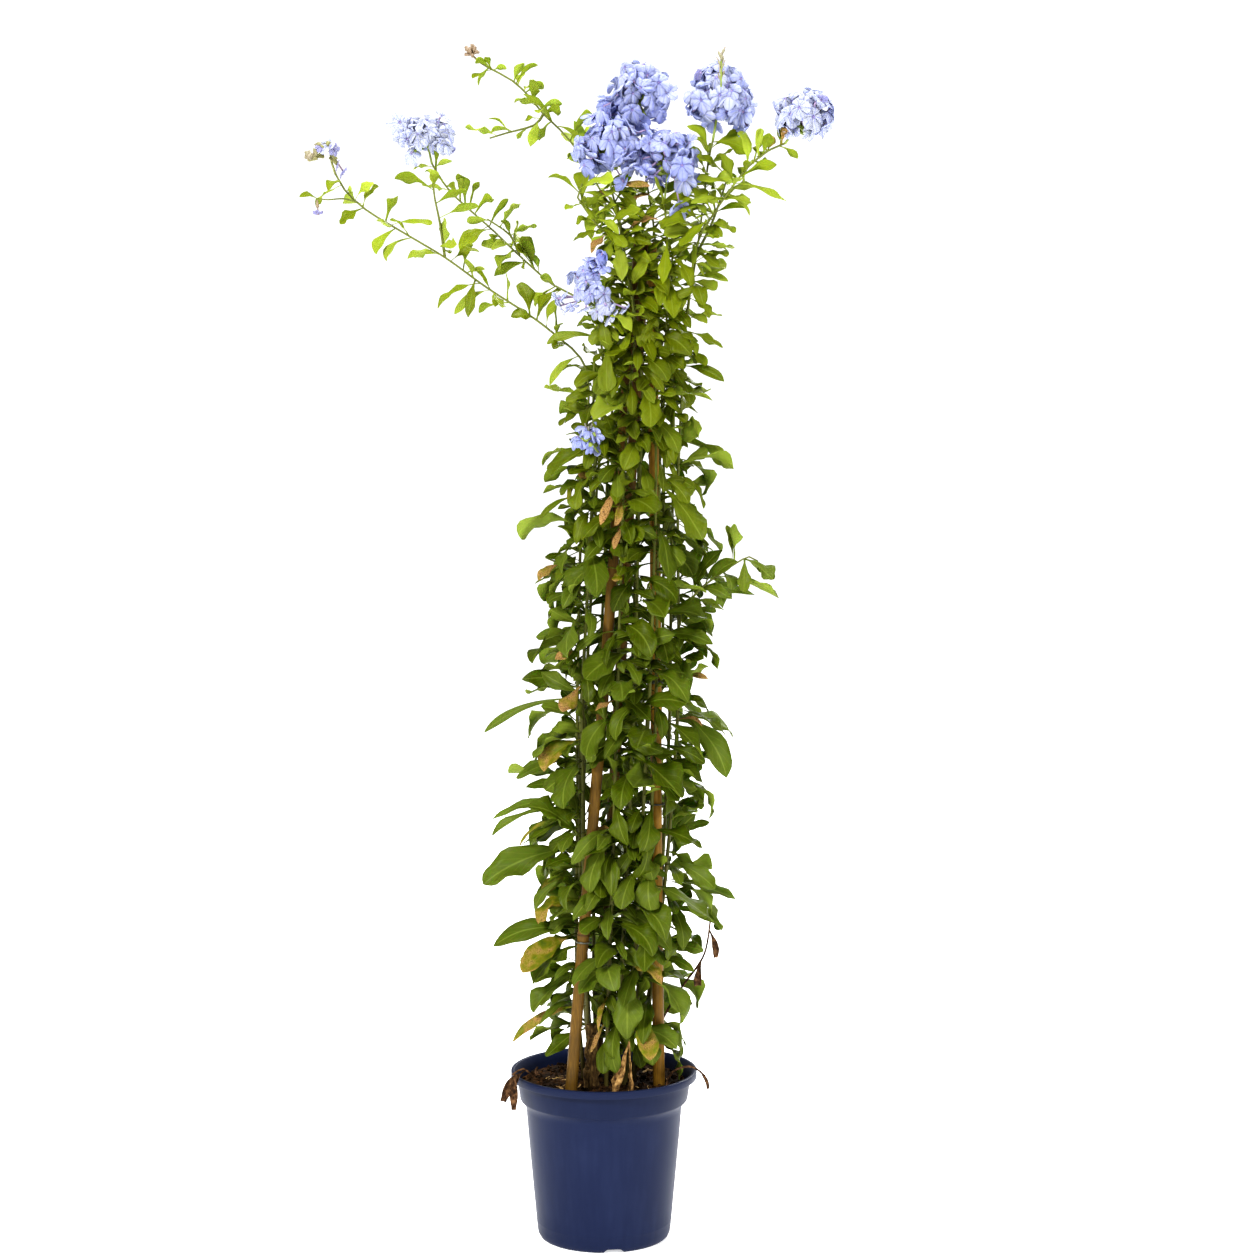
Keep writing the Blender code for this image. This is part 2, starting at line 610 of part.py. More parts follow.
class Blade:
    # One leaf: its midrib bends evenly in an upright plane, from its first pitch to its last.
    def __init__(self, root, azimuth, pitches, length, width, roll=0.0, twist=0.0, sway=0.0, wave=0.0):
        self.root = root
        self.azimuth = azimuth
        self.pitches = pitches
        self.length = length
        self.width = width
        self.roll = roll
        self.twist = twist
        self.sway = sway
        self.wave = wave

    def frame(self, t):
        start, end = self.pitches
        bend = end - start if abs(end - start) > LEAST_BEND else LEAST_BEND
        pitch = start + bend * t
        heading = Vector((math.cos(self.azimuth), math.sin(self.azimuth), 0))
        up = Vector((0, 0, 1))
        run = (math.sin(pitch) - math.sin(start)) / bend
        rise = (math.cos(start) - math.cos(pitch)) / bend
        flat_side = up.cross(heading)
        place = self.root + (heading * run + up * rise + flat_side * self.sway * t * t) * self.length
        along = heading * math.cos(pitch) + up * math.sin(pitch)
        normal = along.cross(flat_side)
        turn = (self.roll + self.twist * t) * min(1.0, t * ROLL_RAMP)
        side = flat_side * math.cos(turn) + normal * math.sin(turn)
        return place, side, along.cross(side)

    def face(self, towards, share):
        # Rolls the blade so that its upper side turns towards a direction.
        self.roll = 0.0
        side, normal = self.frame(FACE_AT)[1:]
        turn = share * math.atan2(-towards.dot(side), towards.dot(normal))
        self.roll = max(-MOST_ROLL, min(MOST_ROLL, turn))
        return self

    def half_width(self, t):
        if t <= PETIOLE_SHARE:
            return PETIOLE_HALF
        return max(PETIOLE_HALF, self.width / 2 * outline((t - PETIOLE_SHARE) / (1 - PETIOLE_SHARE)))

    def edge_lift(self, t, side):
        # The edges stand above the midrib and wave.
        half = self.half_width(t)
        swing = math.sin(self.wave + t * EDGE_WAVES + side * EDGE_SHIFT)
        return half * EDGE_RISE + (half - PETIOLE_HALF) * EDGE_WAVE * swing


def blade_faces(blade, stations, swell=0.0):
    # A closed loft through sections of two edges and a keel: waved above, ribbed below.
    points, faces = [blade.root], []
    for t in stations:
        place, side, normal = blade.frame(t)
        half = blade.half_width(t) + swell
        left = place - side * half + normal * blade.edge_lift(t, -1)
        right = place + side * half + normal * blade.edge_lift(t, 1)
        points += [left, place - normal * (LEAF_KEEL + swell), right]
    points.append(blade.frame(1.0)[0])
    tip = len(points) - 1
    for step in range(3):
        after = (step + 1) % 3
        faces.append((0, 1 + after, 1 + step))
        faces.append((tip, tip - 3 + step, tip - 3 + after))
    for ring in range(len(stations) - 1):
        left = 1 + ring * 3
        keel, right = left + 1, left + 2
        faces += [(left, keel, keel + 3), (left, keel + 3, left + 3)]
        faces += [(keel, right, right + 3), (keel, right + 3, keel + 3)]
        faces += [(right, left, right + 3), (left, left + 3, right + 3)]
    return points, faces


def floret_faces(throat, outward, size, root, spin):
    # Five petals round a throat, on a slender three-sided tube that ends in its root.
    radius = size / 2
    petal = math.tau / PETALS
    across = outward.orthogonal().normalized()
    other = outward.cross(across)

    def spot(turn, reach, lift):
        angle = spin + turn * petal
        return throat + (across * math.cos(angle) + other * math.sin(angle)) * reach + outward * lift

    points = [throat, root]
    points += [spot(turn, radius * NECK_SHARE, -FLORET_DEPTH) for turn in NECK_TURNS]
    sag = PETAL_CUP * radius
    for index in range(PETALS):
        points.append(spot(index - PETAL_TURN, radius, -sag))
        points.append(spot(index + PETAL_TURN, radius, -sag))
        points.append(spot(index + 0.5, radius * NOTCH_SHARE, -sag * NOTCH_LIFT))
    faces = [(1, 3, 2), (1, 4, 3), (1, 2, 4)]
    under_of = (2, 2, 3, 3, 4)
    for index in range(PETALS):
        left, right, notch = (5 + index * 3 + step for step in range(3))
        last = 5 + (index - 1) % PETALS * 3 + 2
        under, next_under = under_of[index], under_of[(index + 1) % PETALS]
        for start, end in ((last, left), (left, right), (right, notch)):
            faces += [(0, start, end), (under, end, start)]
        if next_under != under:
            faces.append((under, next_under, notch))
    return points, faces


# What grows where: leaves are laid one by one, clear of everything laid before them

class Space:
    def __init__(self):
        self.taken = []

    def add(self, points, faces, owner):
        middle = sum(points, Vector()) / len(points)
        reach = max((point - middle).length for point in points)
        self.taken.append((middle, reach, BVHTree.FromPolygons(points, faces), owner))

    def is_free(self, points, faces, owner):
        for point in points[1:]:
            flat = math.hypot(point.x, point.y)
            outside = RIM_RADIUS + RIM_CLEAR
            if flat < outside and point.z < SOIL_TOP + OVER_SOIL:
                return False
            if RIM_INNER_RADIUS - INNER_RIM_CLEAR < flat < outside and point.z < POT_HEIGHT + OVER_RIM:
                return False
        middle = sum(points, Vector()) / len(points)
        reach = max((point - middle).length for point in points)
        tree = None
        for other, other_reach, other_tree, other_owner in self.taken:
            if other_owner == owner or (other - middle).length > reach + other_reach:
                continue
            tree = tree or BVHTree.FromPolygons(points, faces)
            if tree.overlap(other_tree):
                return False
        return True


def add_tube(space, path, radii, owner):
    # A long tube goes in as short stretches, so that most of it is ruled out quickly.
    for index in range(len(path) - 1):
        points, faces = tube_faces(path[index:index + 2], radii[index:index + 2])
        space.add(points, faces, owner)


def cane_line(name):
    foot, top = CANES[name]
    start = Vector((foot[0] * MM, foot[1] * MM, SOIL_TOP))
    end = Vector((top[0] * MM, top[1] * MM, CANE_TOP))
    return start, end


def on_cane(name, height):
    start, end = cane_line(name)
    share = (height * MM - start.z) / (end.z - start.z)
    return start.lerp(end, share), (end - start).normalized()


def tie_places():
    # Middle, axis, radius and thickness of each tie: those round one cane, then the one round all three.
    places = {}
    for name, (cane, height, thick) in TIES.items():
        place, lean = on_cane(cane, height)
        places[name] = (place, lean, CANE_RADIUS[0] + thick * MM + GAP * 2, thick * MM)
    tops = [on_cane(name, TOP_TIE_HEIGHT)[0] for name in CANES]
    middle = sum(tops, Vector()) / len(tops)
    spread = max((top - middle).length for top in tops)
    radius = spread + CANE_RADIUS[1] + TOP_TIE_THICK + GAP * 3
    places["tie_top"] = (middle, Vector((0, 0, 1)), radius, TOP_TIE_THICK)
    return places


def bloom_stalk(name, routes):
    # From just above the nearest branch tip to the middle of the head.
    middle = metres(BLOOMS[name][0])
    tip = min((path[-1] for path in routes.values()), key=lambda end: (end - middle).length)
    return [tip + (middle - tip).normalized() * (GAP * 2), tip.lerp(middle, 0.5), middle]


def floret_places(name):
    # Florets spread evenly over a head by the golden angle, none of them under its stalk.
    centre, halves, count, size = BLOOMS[name]
    middle, size = metres(centre), size * MM
    draw = random.Random(name)
    places = []
    for index in range(count):
        rise = 1 - (index + 0.5) / count * HEAD_SPAN
        angle = index * GOLDEN_TURN + draw.uniform(*FLORET_TURN)
        flat = math.sqrt(max(0.0, 1 - rise * rise))
        outward = Vector((flat * math.cos(angle), flat * math.sin(angle), rise))
        tilt = Vector([draw.uniform(*span) for span in (FLORET_ASIDE, FLORET_ASIDE, FLORET_UP)])
        shell = Vector([a * b * MM for a, b in zip(outward, halves)])
        throat = middle + shell * draw.uniform(*THROAT_SHARE)
        root = middle + shell * CORE_SHARE * ROOT_SHARE
        places.append((throat, (outward + tilt).normalized(), size, root, draw.uniform(*FLORET_SPIN)))
    return places


def laid_florets(space):
    laid = {}
    for name in BLOOMS:
        laid[name] = []
        for throat, outward, size, root, spin in floret_places(name):
            for attempt in range(FLORET_TRIES):
                shift = (throat - root).normalized() * (attempt * FLORET_SHIFT) * (-1) ** attempt
                floret = (throat + shift, outward, size * (1 - FLORET_SHRINK * attempt), root,
                          spin + attempt * FLORET_RESPIN)
                shape = floret_faces(*floret)
                if space.is_free(*shape, None):
                    space.add(*shape, name)
                    laid[name].append(floret)
                    break
    return laid


def aimed_blade(root, tip, width, draw):
    # A blade whose midrib runs from a root to a given tip, arching over on the way.
    reach = tip - root
    flat = math.hypot(reach.x, reach.y)
    slope = math.atan2(reach.z, flat)
    arch = draw.uniform(*ARCH)
    length = reach.length * (1 + arch * arch * ARCH_LENGTH)
    blade = Blade(root, math.atan2(reach.y, reach.x), (slope + arch, slope - arch), length, width,
                  wave=draw.uniform(*WAVE_START))
    aside = draw.uniform(*FRONT_ASIDE)
    front = Vector((aside, -1 if root.y < BACK_FROM else 1, draw.uniform(*FRONT_UP)))
    return blade.face(front.normalized(), draw.uniform(*FRONT_SHARE))


def withered_blades(name):
    path = dead_route(name)
    draw = random.Random(name)
    blades = []
    for share, tip, width in DEAD_STEMS[name][1]:
        root = walk(path, path_length(path) * share)[0]
        blades.append(aimed_blade(root, metres(tip), width * MM, draw))
    return blades


def stations_for(length):
    # Where along a blade its sections lie: more of them on a longer one.
    if length > LONG_LEAF:
        return STATIONS[0]
    if length > MIDDLING_LEAF:
        return STATIONS[1]
    return STATIONS[2]


def lay(space, blade, owner):
    stations = stations_for(blade.length)
    if not space.is_free(*blade_faces(blade, stations, CLEAR), owner):
        return False
    space.add(*blade_faces(blade, stations), None)
    return True


def seen_at(across, down, front):
    # The place that the photo shows at a pixel, a given distance in front of the pot's centre.
    right = (across - VIEW_MIDDLE) / VIEW_FOCAL
    rise = (VIEW_MIDDLE - down) / VIEW_FOCAL
    ray = Vector((right, math.cos(VIEW_DROP) + rise * math.sin(VIEW_DROP),
                  rise * math.cos(VIEW_DROP) - math.sin(VIEW_DROP)))
    return VIEW_EYE + ray * ((-front - VIEW_EYE.y) / ray.y)


def at_height(path, height):
    for start, end in zip(path, path[1:]):
        if start.z <= height < end.z:
            return start.lerp(end, (height - start.z) / (end.z - start.z))
    return None


def carrier(routes, seen, roots):
    # The stem or twig that a leaf in the photo grows on: near its root there, towards the front,
    # and with no other root close by.
    best = None
    for name, path in routes.items():
        for drop in ROOT_DROPS:
            spot = at_height(path, seen.z + drop)
            if spot is None:
                continue
            crowd = sum(1 for other in roots.get(name, []) if (other - spot).length < ROOT_ROOM)
            cost = abs(spot.x - seen.x) + BEHIND_COST * max(0, spot.y - seen.y) + DROP_COST * abs(drop)
            cost += crowd * CROWD_COST
            if spot.y > BACK_STEM[0] and spot.x < BACK_STEM[1]:
                cost += BACK_COST
            if best is None or cost < best[0]:
                best = (cost, name, spot)
    return best[1:]


def laid_seen_leaves(space, routes, laid):
    draw = random.Random("seen leaves")
    roots = {}
    for across, down, tip_across, tip_down, wide, front in SEEN_LEAVES:
        seen = seen_at(across, down, min(ROOT_FRONT[0], front * ROOT_FRONT[1]) * MM)
        tip = seen_at(tip_across, tip_down, front * MM)
        width = wide * (tip - VIEW_EYE).length / VIEW_FOCAL
        name, root = carrier(routes, seen, roots)
        for attempt in range(SEEN_TRIES):
            push = Vector([draw.uniform(-SEEN_PUSH, SEEN_PUSH) * attempt for _ in range(3)]) * MM
            blade = aimed_blade(root, tip + push, width * (1 - SEEN_SHRINK * attempt), draw)
            if lay(space, blade, name):
                laid[name].append(blade)
                roots.setdefault(name, []).append(root)
                break
    return roots


def free_blade(spot, ahead, turn, size, draw, in_column):
    # A leaf turned outwards from the column, or round a branch that has left it.
    length, width = size
    way = COLUMN_LEAF if in_column else BRANCH_LEAF
    if in_column:
        centre = Vector((between(COLUMN, spot.z / MM, 1) * MM, 0, spot.z))
        out = spot - centre
        azimuth = math.atan2(out.y, out.x) + turn * way["turn share"] + draw.uniform(*way["turn"])
        droop = draw.uniform(*way["droop"])
        first = draw.uniform(*way["first"])
        blade = Blade(spot, azimuth, (first, first - droop), length, width, 0.0, draw.uniform(*way["twist"]),
                      draw.uniform(*way["sway"]), draw.uniform(*WAVE_START))
        spans = (way["light aside"], way["light aside"], way["light up"])
        light = out.normalized() + Vector([draw.uniform(*span) for span in spans])
        return blade.face(light.normalized(), draw.uniform(*way["facing"]))
    side = ahead.cross(Vector((0, 0, 1))).normalized()
    over = side.cross(ahead)
    out = side * math.sin(turn) + over * (math.cos(turn) + way["upward"])
    out += ahead * draw.uniform(*way["onward"])
    azimuth = math.atan2(out.y, out.x)
    first = math.atan2(out.z, math.hypot(out.x, out.y))
    return Blade(spot, azimuth, (first, first - draw.uniform(*way["droop"])), length, width,
                 draw.uniform(*way["roll"]), draw.uniform(*way["twist"]), draw.uniform(*way["sway"]),
                 draw.uniform(*WAVE_START))


def laid_leaves(space, routes):
    laid = {name: [] for name in routes}
    roots = laid_seen_leaves(space, routes, laid)
    for name, path in routes.items():
        draw = random.Random(name)
        column_top = STEMS[name][2] * MM if name in STEMS else 0
        total = path_length(path)
        distance = FIRST_LEAF
        if name in STEMS:
            distance = draw.uniform(*FIRST_LEAF_SPREAD) * MM + (LEAF_FROM - COLUMN_FOOT) * MM
        turn = draw.uniform(0, math.tau)
        while distance < total - LAST_LEAF:
            spot, ahead = walk(path, distance)
            if any((root - spot).length < ROOM_FROM_SEEN for root in roots.get(name, [])):
                distance += STEP_PAST_SEEN
                continue
            height = spot.z / MM
            spacing, length, width = (between(LEAF_SIZES, height, index) for index in (1, 2, 3))
            in_column = spot.z < column_top
            if not in_column:
                length *= BRANCH_LEAF["length"]
                width *= BRANCH_LEAF["width"]
            for attempt in range(LEAF_TRIES):
                scale = draw.uniform(*LEAF_SCALE) * (1 - LEAF_SHRINK * attempt)
                spread = math.remainder(turn, math.tau) + draw.uniform(*LEAF_TURN) * attempt
                size = (length * scale * MM, width * scale * draw.uniform(*LEAF_WIDTH) * MM)
                blade = free_blade(spot, ahead, spread, size, draw, in_column)
                if lay(space, blade, name):
                    laid[name].append(blade)
                    break
            turn += math.radians(PHYLLOTAXIS)
            distance += spacing * MM * draw.uniform(*LEAF_SPACING)
    return laid


def grown():
    # Routes, florets and leaves of the whole plant.
    space = Space()
    for name in CANES:
        start, end = cane_line(name)
        line = [start.lerp(end, index / CANE_STRETCHES) for index in range(CANE_STRETCHES + 1)]
        add_tube(space, line, [CANE_RADIUS[0] + CANE_CLEAR] * len(line), name)
    routes = {name: stem_route(name) for name in STEMS}
    routes.update({name: twig_route(name) for name in TWIGS})
    for name, path in routes.items():
        thick = taper(path, STEM_RADIUS, STEM_TAPER_TOP) if name in STEMS else taper(path, TWIG_RADIUS)
        add_tube(space, path, [radius + CLEAR for radius in thick], name)
    for name in DEAD_STEMS:
        path = dead_route(name)
        add_tube(space, path, [DEAD_RADIUS[0] + CLEAR * 2] * len(path), name)
        for blade in withered_blades(name):
            space.add(*blade_faces(blade, stations_for(blade.length), CLEAR), name)
    crown = metres((*CROWN_PLACE, 0))
    line = [crown + Vector((0, 0, height)) for height in (SOIL_TOP, CROWN_TOP)]
    add_tube(space, line, [CROWN_RADIUS * CROWN_ROOM] * 2, "crown")
    for name, (place, lean, radius, thick) in tie_places().items():
        half = lean * (thick + CLEAR)
        add_tube(space, [place - half, place + half], [radius + thick + CLEAR] * 2, name)
    florets = laid_florets(space)
    for name in BLOOMS:
        add_tube(space, bloom_stalk(name, routes), [STALK_RADIUS + CLEAR] * 3, name)
    leaves = laid_leaves(space, routes)
    return routes, florets, leaves


# The pieces

def make_pot(collection, cutters):
    lip_foot = POT_HEIGHT - LIP_HEIGHT
    profile = [
        (0, POT_FLOOR),
        (FOOT_CURVE[0] - POT_WALL, POT_FLOOR),
        (WALL_FOOT[0] - POT_WALL, WALL_FOOT[1]),
        (WALL_TOP[0] - POT_WALL, WALL_TOP[1] + POT_WALL),
        (COLLAR_FOOT[0] - POT_WALL, COLLAR_FOOT[1] + POT_WALL),
        (COLLAR_TOP[0] - POT_WALL, lip_foot),
        (RIM_INNER_RADIUS, POT_HEIGHT),
        (RIM_RADIUS - RIM_BEVEL[0], POT_HEIGHT),
        (RIM_RADIUS, POT_HEIGHT - RIM_BEVEL[1]),
        (RIM_RADIUS, lip_foot),
        COLLAR_TOP,
        COLLAR_FOOT,
        WALL_TOP,
        WALL_FOOT,
        FOOT_CURVE,
        (FOOT_RADIUS, 0),
        (0, 0),
    ]
    blue = make_material("pot_blue_plastic", (0.035, 0.05, 0.13), 0.42)
    pot = turned("pot", profile, TURN_STEPS, collection, blue)
    for index in range(NOTCHES):
        angle = -math.pi / 2 + NOTCH_TURN + index * math.tau / NOTCHES
        shape = bmesh.new()
        bmesh.ops.create_cube(shape, size=1.0)
        for vert in shape.verts:
            width = NOTCH_TOP_WIDTH if vert.co.z > 0 else NOTCH_FOOT_WIDTH
            vert.co = (vert.co.x * NOTCH_REACH, vert.co.y * width, vert.co.z * NOTCH_HEIGHT * 2)
        cutter = from_bmesh(f"notch_cutter_{index + 1}", shape, cutters)
        cutter.location = Vector((math.cos(angle), math.sin(angle), 0)) * (FOOT_RADIUS + NOTCH_OUT)
        cutter.rotation_euler.z = angle
        cutter.hide_render = True
        cutter.display_type = "WIRE"
        cut = pot.modifiers.new(f"Notch {index + 1}", "BOOLEAN")
        cut.operation = "DIFFERENCE"
        cut.object = cutter
        cut.solver = "EXACT"
    return pot


def rough_top(shape):
    # Lifts the soil's top into a low rough mound, and leaves its edge level.
    draw = random.Random(SOIL_SEED)
    for vert in shape.verts:
        flat = math.hypot(vert.co.x, vert.co.y)
        if vert.co.z > SOIL_TOP - SOIL_EDGE[1] / 2 and flat < COLLAR_TOP[0] - SOIL_LEVEL_EDGE:
            share = 1 - flat / COLLAR_TOP[0]
            vert.co.z += SOIL_MOUND * share + draw.uniform(-1, 1) * SOIL_ROUGHNESS


def make_soil(collection, cutters, holes):
    inside = POT_WALL + SOIL_GAP
    profile = [
        (0, SOIL_TOP),
        (SOIL_RINGS[0], SOIL_TOP),
        (SOIL_RINGS[1], SOIL_TOP),
        (COLLAR_TOP[0] - inside - SOIL_EDGE[0], SOIL_TOP - SOIL_EDGE[1]),
        (COLLAR_FOOT[0] - inside, COLLAR_FOOT[1] + inside),
        (WALL_TOP[0] - inside, WALL_TOP[1] + inside),
        (WALL_FOOT[0] - inside, WALL_FOOT[1]),
        (FOOT_CURVE[0] - inside - SOIL_FOOT_ROOM, POT_FLOOR + GAP),
        (0, POT_FLOOR + GAP),
    ]
    peat = make_material("soil_peat", (0.035, 0.024, 0.016), 0.95)
    soil = turned("soil", profile, TURN_STEPS, collection, peat)
    settle(soil)
    shape = bmesh.new()
    shape.from_mesh(soil.data)
    rough_top(shape)
    bmesh.ops.triangulate(shape, faces=shape.faces)
    shape.to_mesh(soil.data)
    shape.free()
    for index, (place, lean, radius, depth, sides) in enumerate(holes):
        shape = bmesh.new()
        bmesh.ops.create_cone(shape, cap_ends=True, segments=sides, radius1=radius, radius2=radius,
                              depth=depth * 2)
        cutter = from_bmesh(f"soil_hole_{index + 1}", shape, cutters)
        cutter.location = place
        cutter.rotation_mode = "QUATERNION"
        cutter.rotation_quaternion = lean.to_track_quat("Z", "Y")
        cutter.hide_render = True
        cutter.display_type = "WIRE"
        cut = soil.modifiers.new(f"Hole {index + 1}", "BOOLEAN")
        cut.operation = "DIFFERENCE"
        cut.object = cutter
        cut.solver = "EXACT"
    return soil


def make_cane(name, collection, material):
    start, end = cane_line(name)
    lean = (end - start).normalized()
    foot = start - lean * (CANE_HOLE_DEPTH - GAP * 2)
    length = (end - foot).length
    profile = [(0, length), (CANE_RADIUS[1], length)]
    for share in reversed(CANE_KNUCKLES):
        radius = CANE_RADIUS[0] + (CANE_RADIUS[1] - CANE_RADIUS[0]) * share
        height = length * share
        profile += [(radius, height + KNUCKLE_HALF), (radius + KNUCKLE_RISE, height),
                    (radius, height - KNUCKLE_HALF)]
    profile += [(CANE_RADIUS[0], 0), (0, 0)]
    cane = turned(name, profile, CANE_SIDES, collection, material)
    cane.location = foot
    cane.rotation_mode = "QUATERNION"
    cane.rotation_quaternion = lean.to_track_quat("Z", "Y")
    return cane


def make_ring(name, place, lean, radius, thick, collection, material):
    bpy.ops.mesh.primitive_torus_add(major_segments=TIE_SIDES[0], minor_segments=TIE_SIDES[1],
                                     major_radius=radius, minor_radius=thick)
    ring = bpy.context.object
    ring.name = name
    ring.data.name = name
    for owner in list(ring.users_collection):
        owner.objects.unlink(ring)
    collection.objects.link(ring)
    ring.data.materials.append(material)
    ring.location = place
    ring.rotation_mode = "QUATERNION"
    ring.rotation_quaternion = lean.to_track_quat("Z", "Y")
    return ring


def make_ties(collection):
    wire = make_material("tie_wire", (0.03, 0.035, 0.025), 0.5, 0.3)
    for name, (place, lean, radius, thick) in tie_places().items():
        make_ring(name, place, lean, radius, thick, collection, wire)


def make_crown(collection):
    # The woody foot, a turned core whose surface is knotted by a formula.
    bark = make_material("crown_bark", (0.3, 0.2, 0.11), 0.9)
    foot = SOIL_TOP - HOLE_DEPTH + GAP * 2
    shoulder = CROWN_TOP - CROWN_BEVEL
    profile = [(0, CROWN_TOP)]
    for index in range(CROWN_RINGS):
        share = index / (CROWN_RINGS - 1)
        profile.append((CROWN_RADIUS * (CROWN_TAPER[0] + CROWN_TAPER[1] * share),
                        shoulder + (foot - shoulder) * share))
    profile.append((0, foot))
    crown = turned("crown", profile, CROWN_SIDES, collection, bark)
    settle(crown)
    for vert in crown.data.vertices:
        if vert.co.z > SOIL_TOP + KNOT_FROM:
            angle = math.atan2(vert.co.y, vert.co.x)
            knot = 1 + sum(size * math.sin(turns * angle + vert.co.z * climb) for turns, climb, size in KNOTS)
            vert.co.x *= knot
            vert.co.y *= knot
    crown.location = metres((*CROWN_PLACE, 0))
    return crown


def blade_object(name, blade, collection):
    points, faces = blade_faces(blade, stations_for(blade.length))
    return solid_from(name, points, faces, collection)


def solid_from(name, points, faces, collection):
    shape = bmesh.new()
    verts = [shape.verts.new(point) for point in points]
    for face in faces:
        shape.faces.new([verts[index] for index in face])
    bmesh.ops.recalc_face_normals(shape, faces=shape.faces)
    return from_bmesh(name, shape, collection)


def make_stem(name, routes, leaves, collection, material):
    path = routes[name]
    stem = tube(name, path, taper(path, STEM_RADIUS, STEM_TAPER_TOP), collection, material, roundness=0)
    repeats = []
    for twig in [twig for twig in TWIGS if TWIGS[twig][0] == name]:
        route = routes[twig]
        repeats.append(tube(twig, route, taper(route, TWIG_RADIUS), collection, roundness=0))
        repeats += [blade_object(twig + "_leaf", blade, collection) for blade in leaves[twig]]
    repeats += [blade_object(name + "_leaf", blade, collection) for blade in leaves[name]]
    fuse(stem, repeats)
    return stem


def make_bloom(name, florets, routes, collection, material):
    centre, halves, count = BLOOMS[name][:3]
    middle = metres(centre)
    shape = bmesh.new()
    bmesh.ops.create_icosphere(shape, subdivisions=1, radius=1.0)
    share = CORE_SHARE if count else 1.0
    bmesh.ops.scale(shape, vec=[half * share * MM for half in halves], verts=shape.verts)
    bmesh.ops.translate(shape, vec=middle, verts=shape.verts)
    bloom = from_bmesh(name, shape, collection, material)
    stalk = bloom_stalk(name, routes)
    repeats = [tube(name + "_stalk", stalk, [STALK_RADIUS] * 3, collection, roundness=0)]
    repeats += [solid_from(name + "_floret", *floret_faces(*floret), collection) for floret in florets[name]]
    fuse(bloom, repeats)
    return bloom


def make_dead_stem(name, collection, material):
    path = dead_route(name)
    stem = tube(name, path, taper(path, DEAD_RADIUS), collection, material, roundness=0)
    fuse(stem, [blade_object(name + "_leaf", blade, collection) for blade in withered_blades(name)])
    return stem


def soil_holes(routes):
    # Where canes, stems and dead growth stand: place, lean, radius, depth and sides of each hole.
    upright = Vector((0, 0, 1))
    holes = []
    for name in CANES:
        start, end = cane_line(name)
        radius = CANE_RADIUS[0] * HOLE_ROOM[CANE_HOLE_SIDES] + GAP
        holes.append((start, (end - start).normalized(), radius, CANE_HOLE_DEPTH, CANE_HOLE_SIDES))
    feet = [(routes[name][0], STEM_RADIUS[0]) for name in STEMS]
    feet += [(dead_route(name)[0], DEAD_RADIUS[0]) for name in DEAD_STEMS]
    for foot, thick in feet:
        place = Vector((foot.x, foot.y, SOIL_TOP))
        radius = thick * HOLE_ROOM[STEM_HOLE_SIDES] + GAP * 2
        holes.append((place, upright, radius, HOLE_DEPTH, STEM_HOLE_SIDES))
    crown = metres((*CROWN_PLACE, SOIL_TOP / MM))
    radius = CROWN_RADIUS * HOLE_ROOM[CANE_HOLE_SIDES] + GAP
    holes.append((crown, upright, radius, HOLE_DEPTH, CANE_HOLE_SIDES))
    return holes


def clear_scene():
    for thing in list(bpy.data.objects):
        bpy.data.objects.remove(thing)


def main():
    clear_scene()
    plant = bpy.data.collections.new("potted_cape_leadwort")
    cutters = bpy.data.collections.new("cutters")
    bpy.context.scene.collection.children.link(plant)
    bpy.context.scene.collection.children.link(cutters)
    routes, florets, leaves = grown()
    pot = make_pot(plant, cutters)
    soil = make_soil(plant, cutters, soil_holes(routes))
    bamboo = make_material("cane_bamboo", (0.36, 0.2, 0.06), 0.55)
    for name in CANES:
        shade(make_cane(name, plant, bamboo))
    make_ties(plant)
    make_crown(plant)
    green = make_material("leaf_green", (0.17, 0.26, 0.04), 0.5)
    for name in STEMS:
        shade(make_stem(name, routes, leaves, plant, green))
    blue = make_material("petal_blue", (0.42, 0.48, 0.82), 0.6)
    for name in BLOOMS:
        shade(make_bloom(name, florets, routes, plant, blue))
    brown = make_material("dead_leaf_brown", (0.22, 0.12, 0.05), 0.85)
    for name in DEAD_STEMS:
        shade(make_dead_stem(name, plant, brown))
    shade(soil, SOIL_SHARP_FROM)
    shade(pot)


main()
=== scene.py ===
import math
import random
from dataclasses import dataclass
from functools import partial

import bmesh
import bpy
from mathutils import Matrix, Vector, noise
from mathutils.bvhtree import BVHTree


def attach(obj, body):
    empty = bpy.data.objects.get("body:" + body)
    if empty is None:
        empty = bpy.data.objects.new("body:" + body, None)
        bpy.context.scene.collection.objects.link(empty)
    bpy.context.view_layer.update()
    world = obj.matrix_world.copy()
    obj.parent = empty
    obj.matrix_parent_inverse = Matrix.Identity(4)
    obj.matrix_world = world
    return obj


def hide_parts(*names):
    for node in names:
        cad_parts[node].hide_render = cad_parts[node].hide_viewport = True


# A potted cape leadwort, trained up three bamboo canes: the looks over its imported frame.
# Everything is in metres, the pot stands on the origin, and the front faces -Y.

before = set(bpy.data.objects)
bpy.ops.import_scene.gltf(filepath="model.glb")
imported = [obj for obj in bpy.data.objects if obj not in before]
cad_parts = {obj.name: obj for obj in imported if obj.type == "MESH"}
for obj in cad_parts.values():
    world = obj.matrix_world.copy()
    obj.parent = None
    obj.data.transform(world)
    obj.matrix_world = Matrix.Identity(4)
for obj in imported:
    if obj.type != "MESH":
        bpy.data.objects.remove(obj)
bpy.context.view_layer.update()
mm = 0.001
gap = 0.3 * mm
goldenTurn = math.pi * (3 - math.sqrt(5))
print("frame loaded:", len(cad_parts), "nodes")

# Studio: the camera of the photo, a pale floor and soft light from all round.

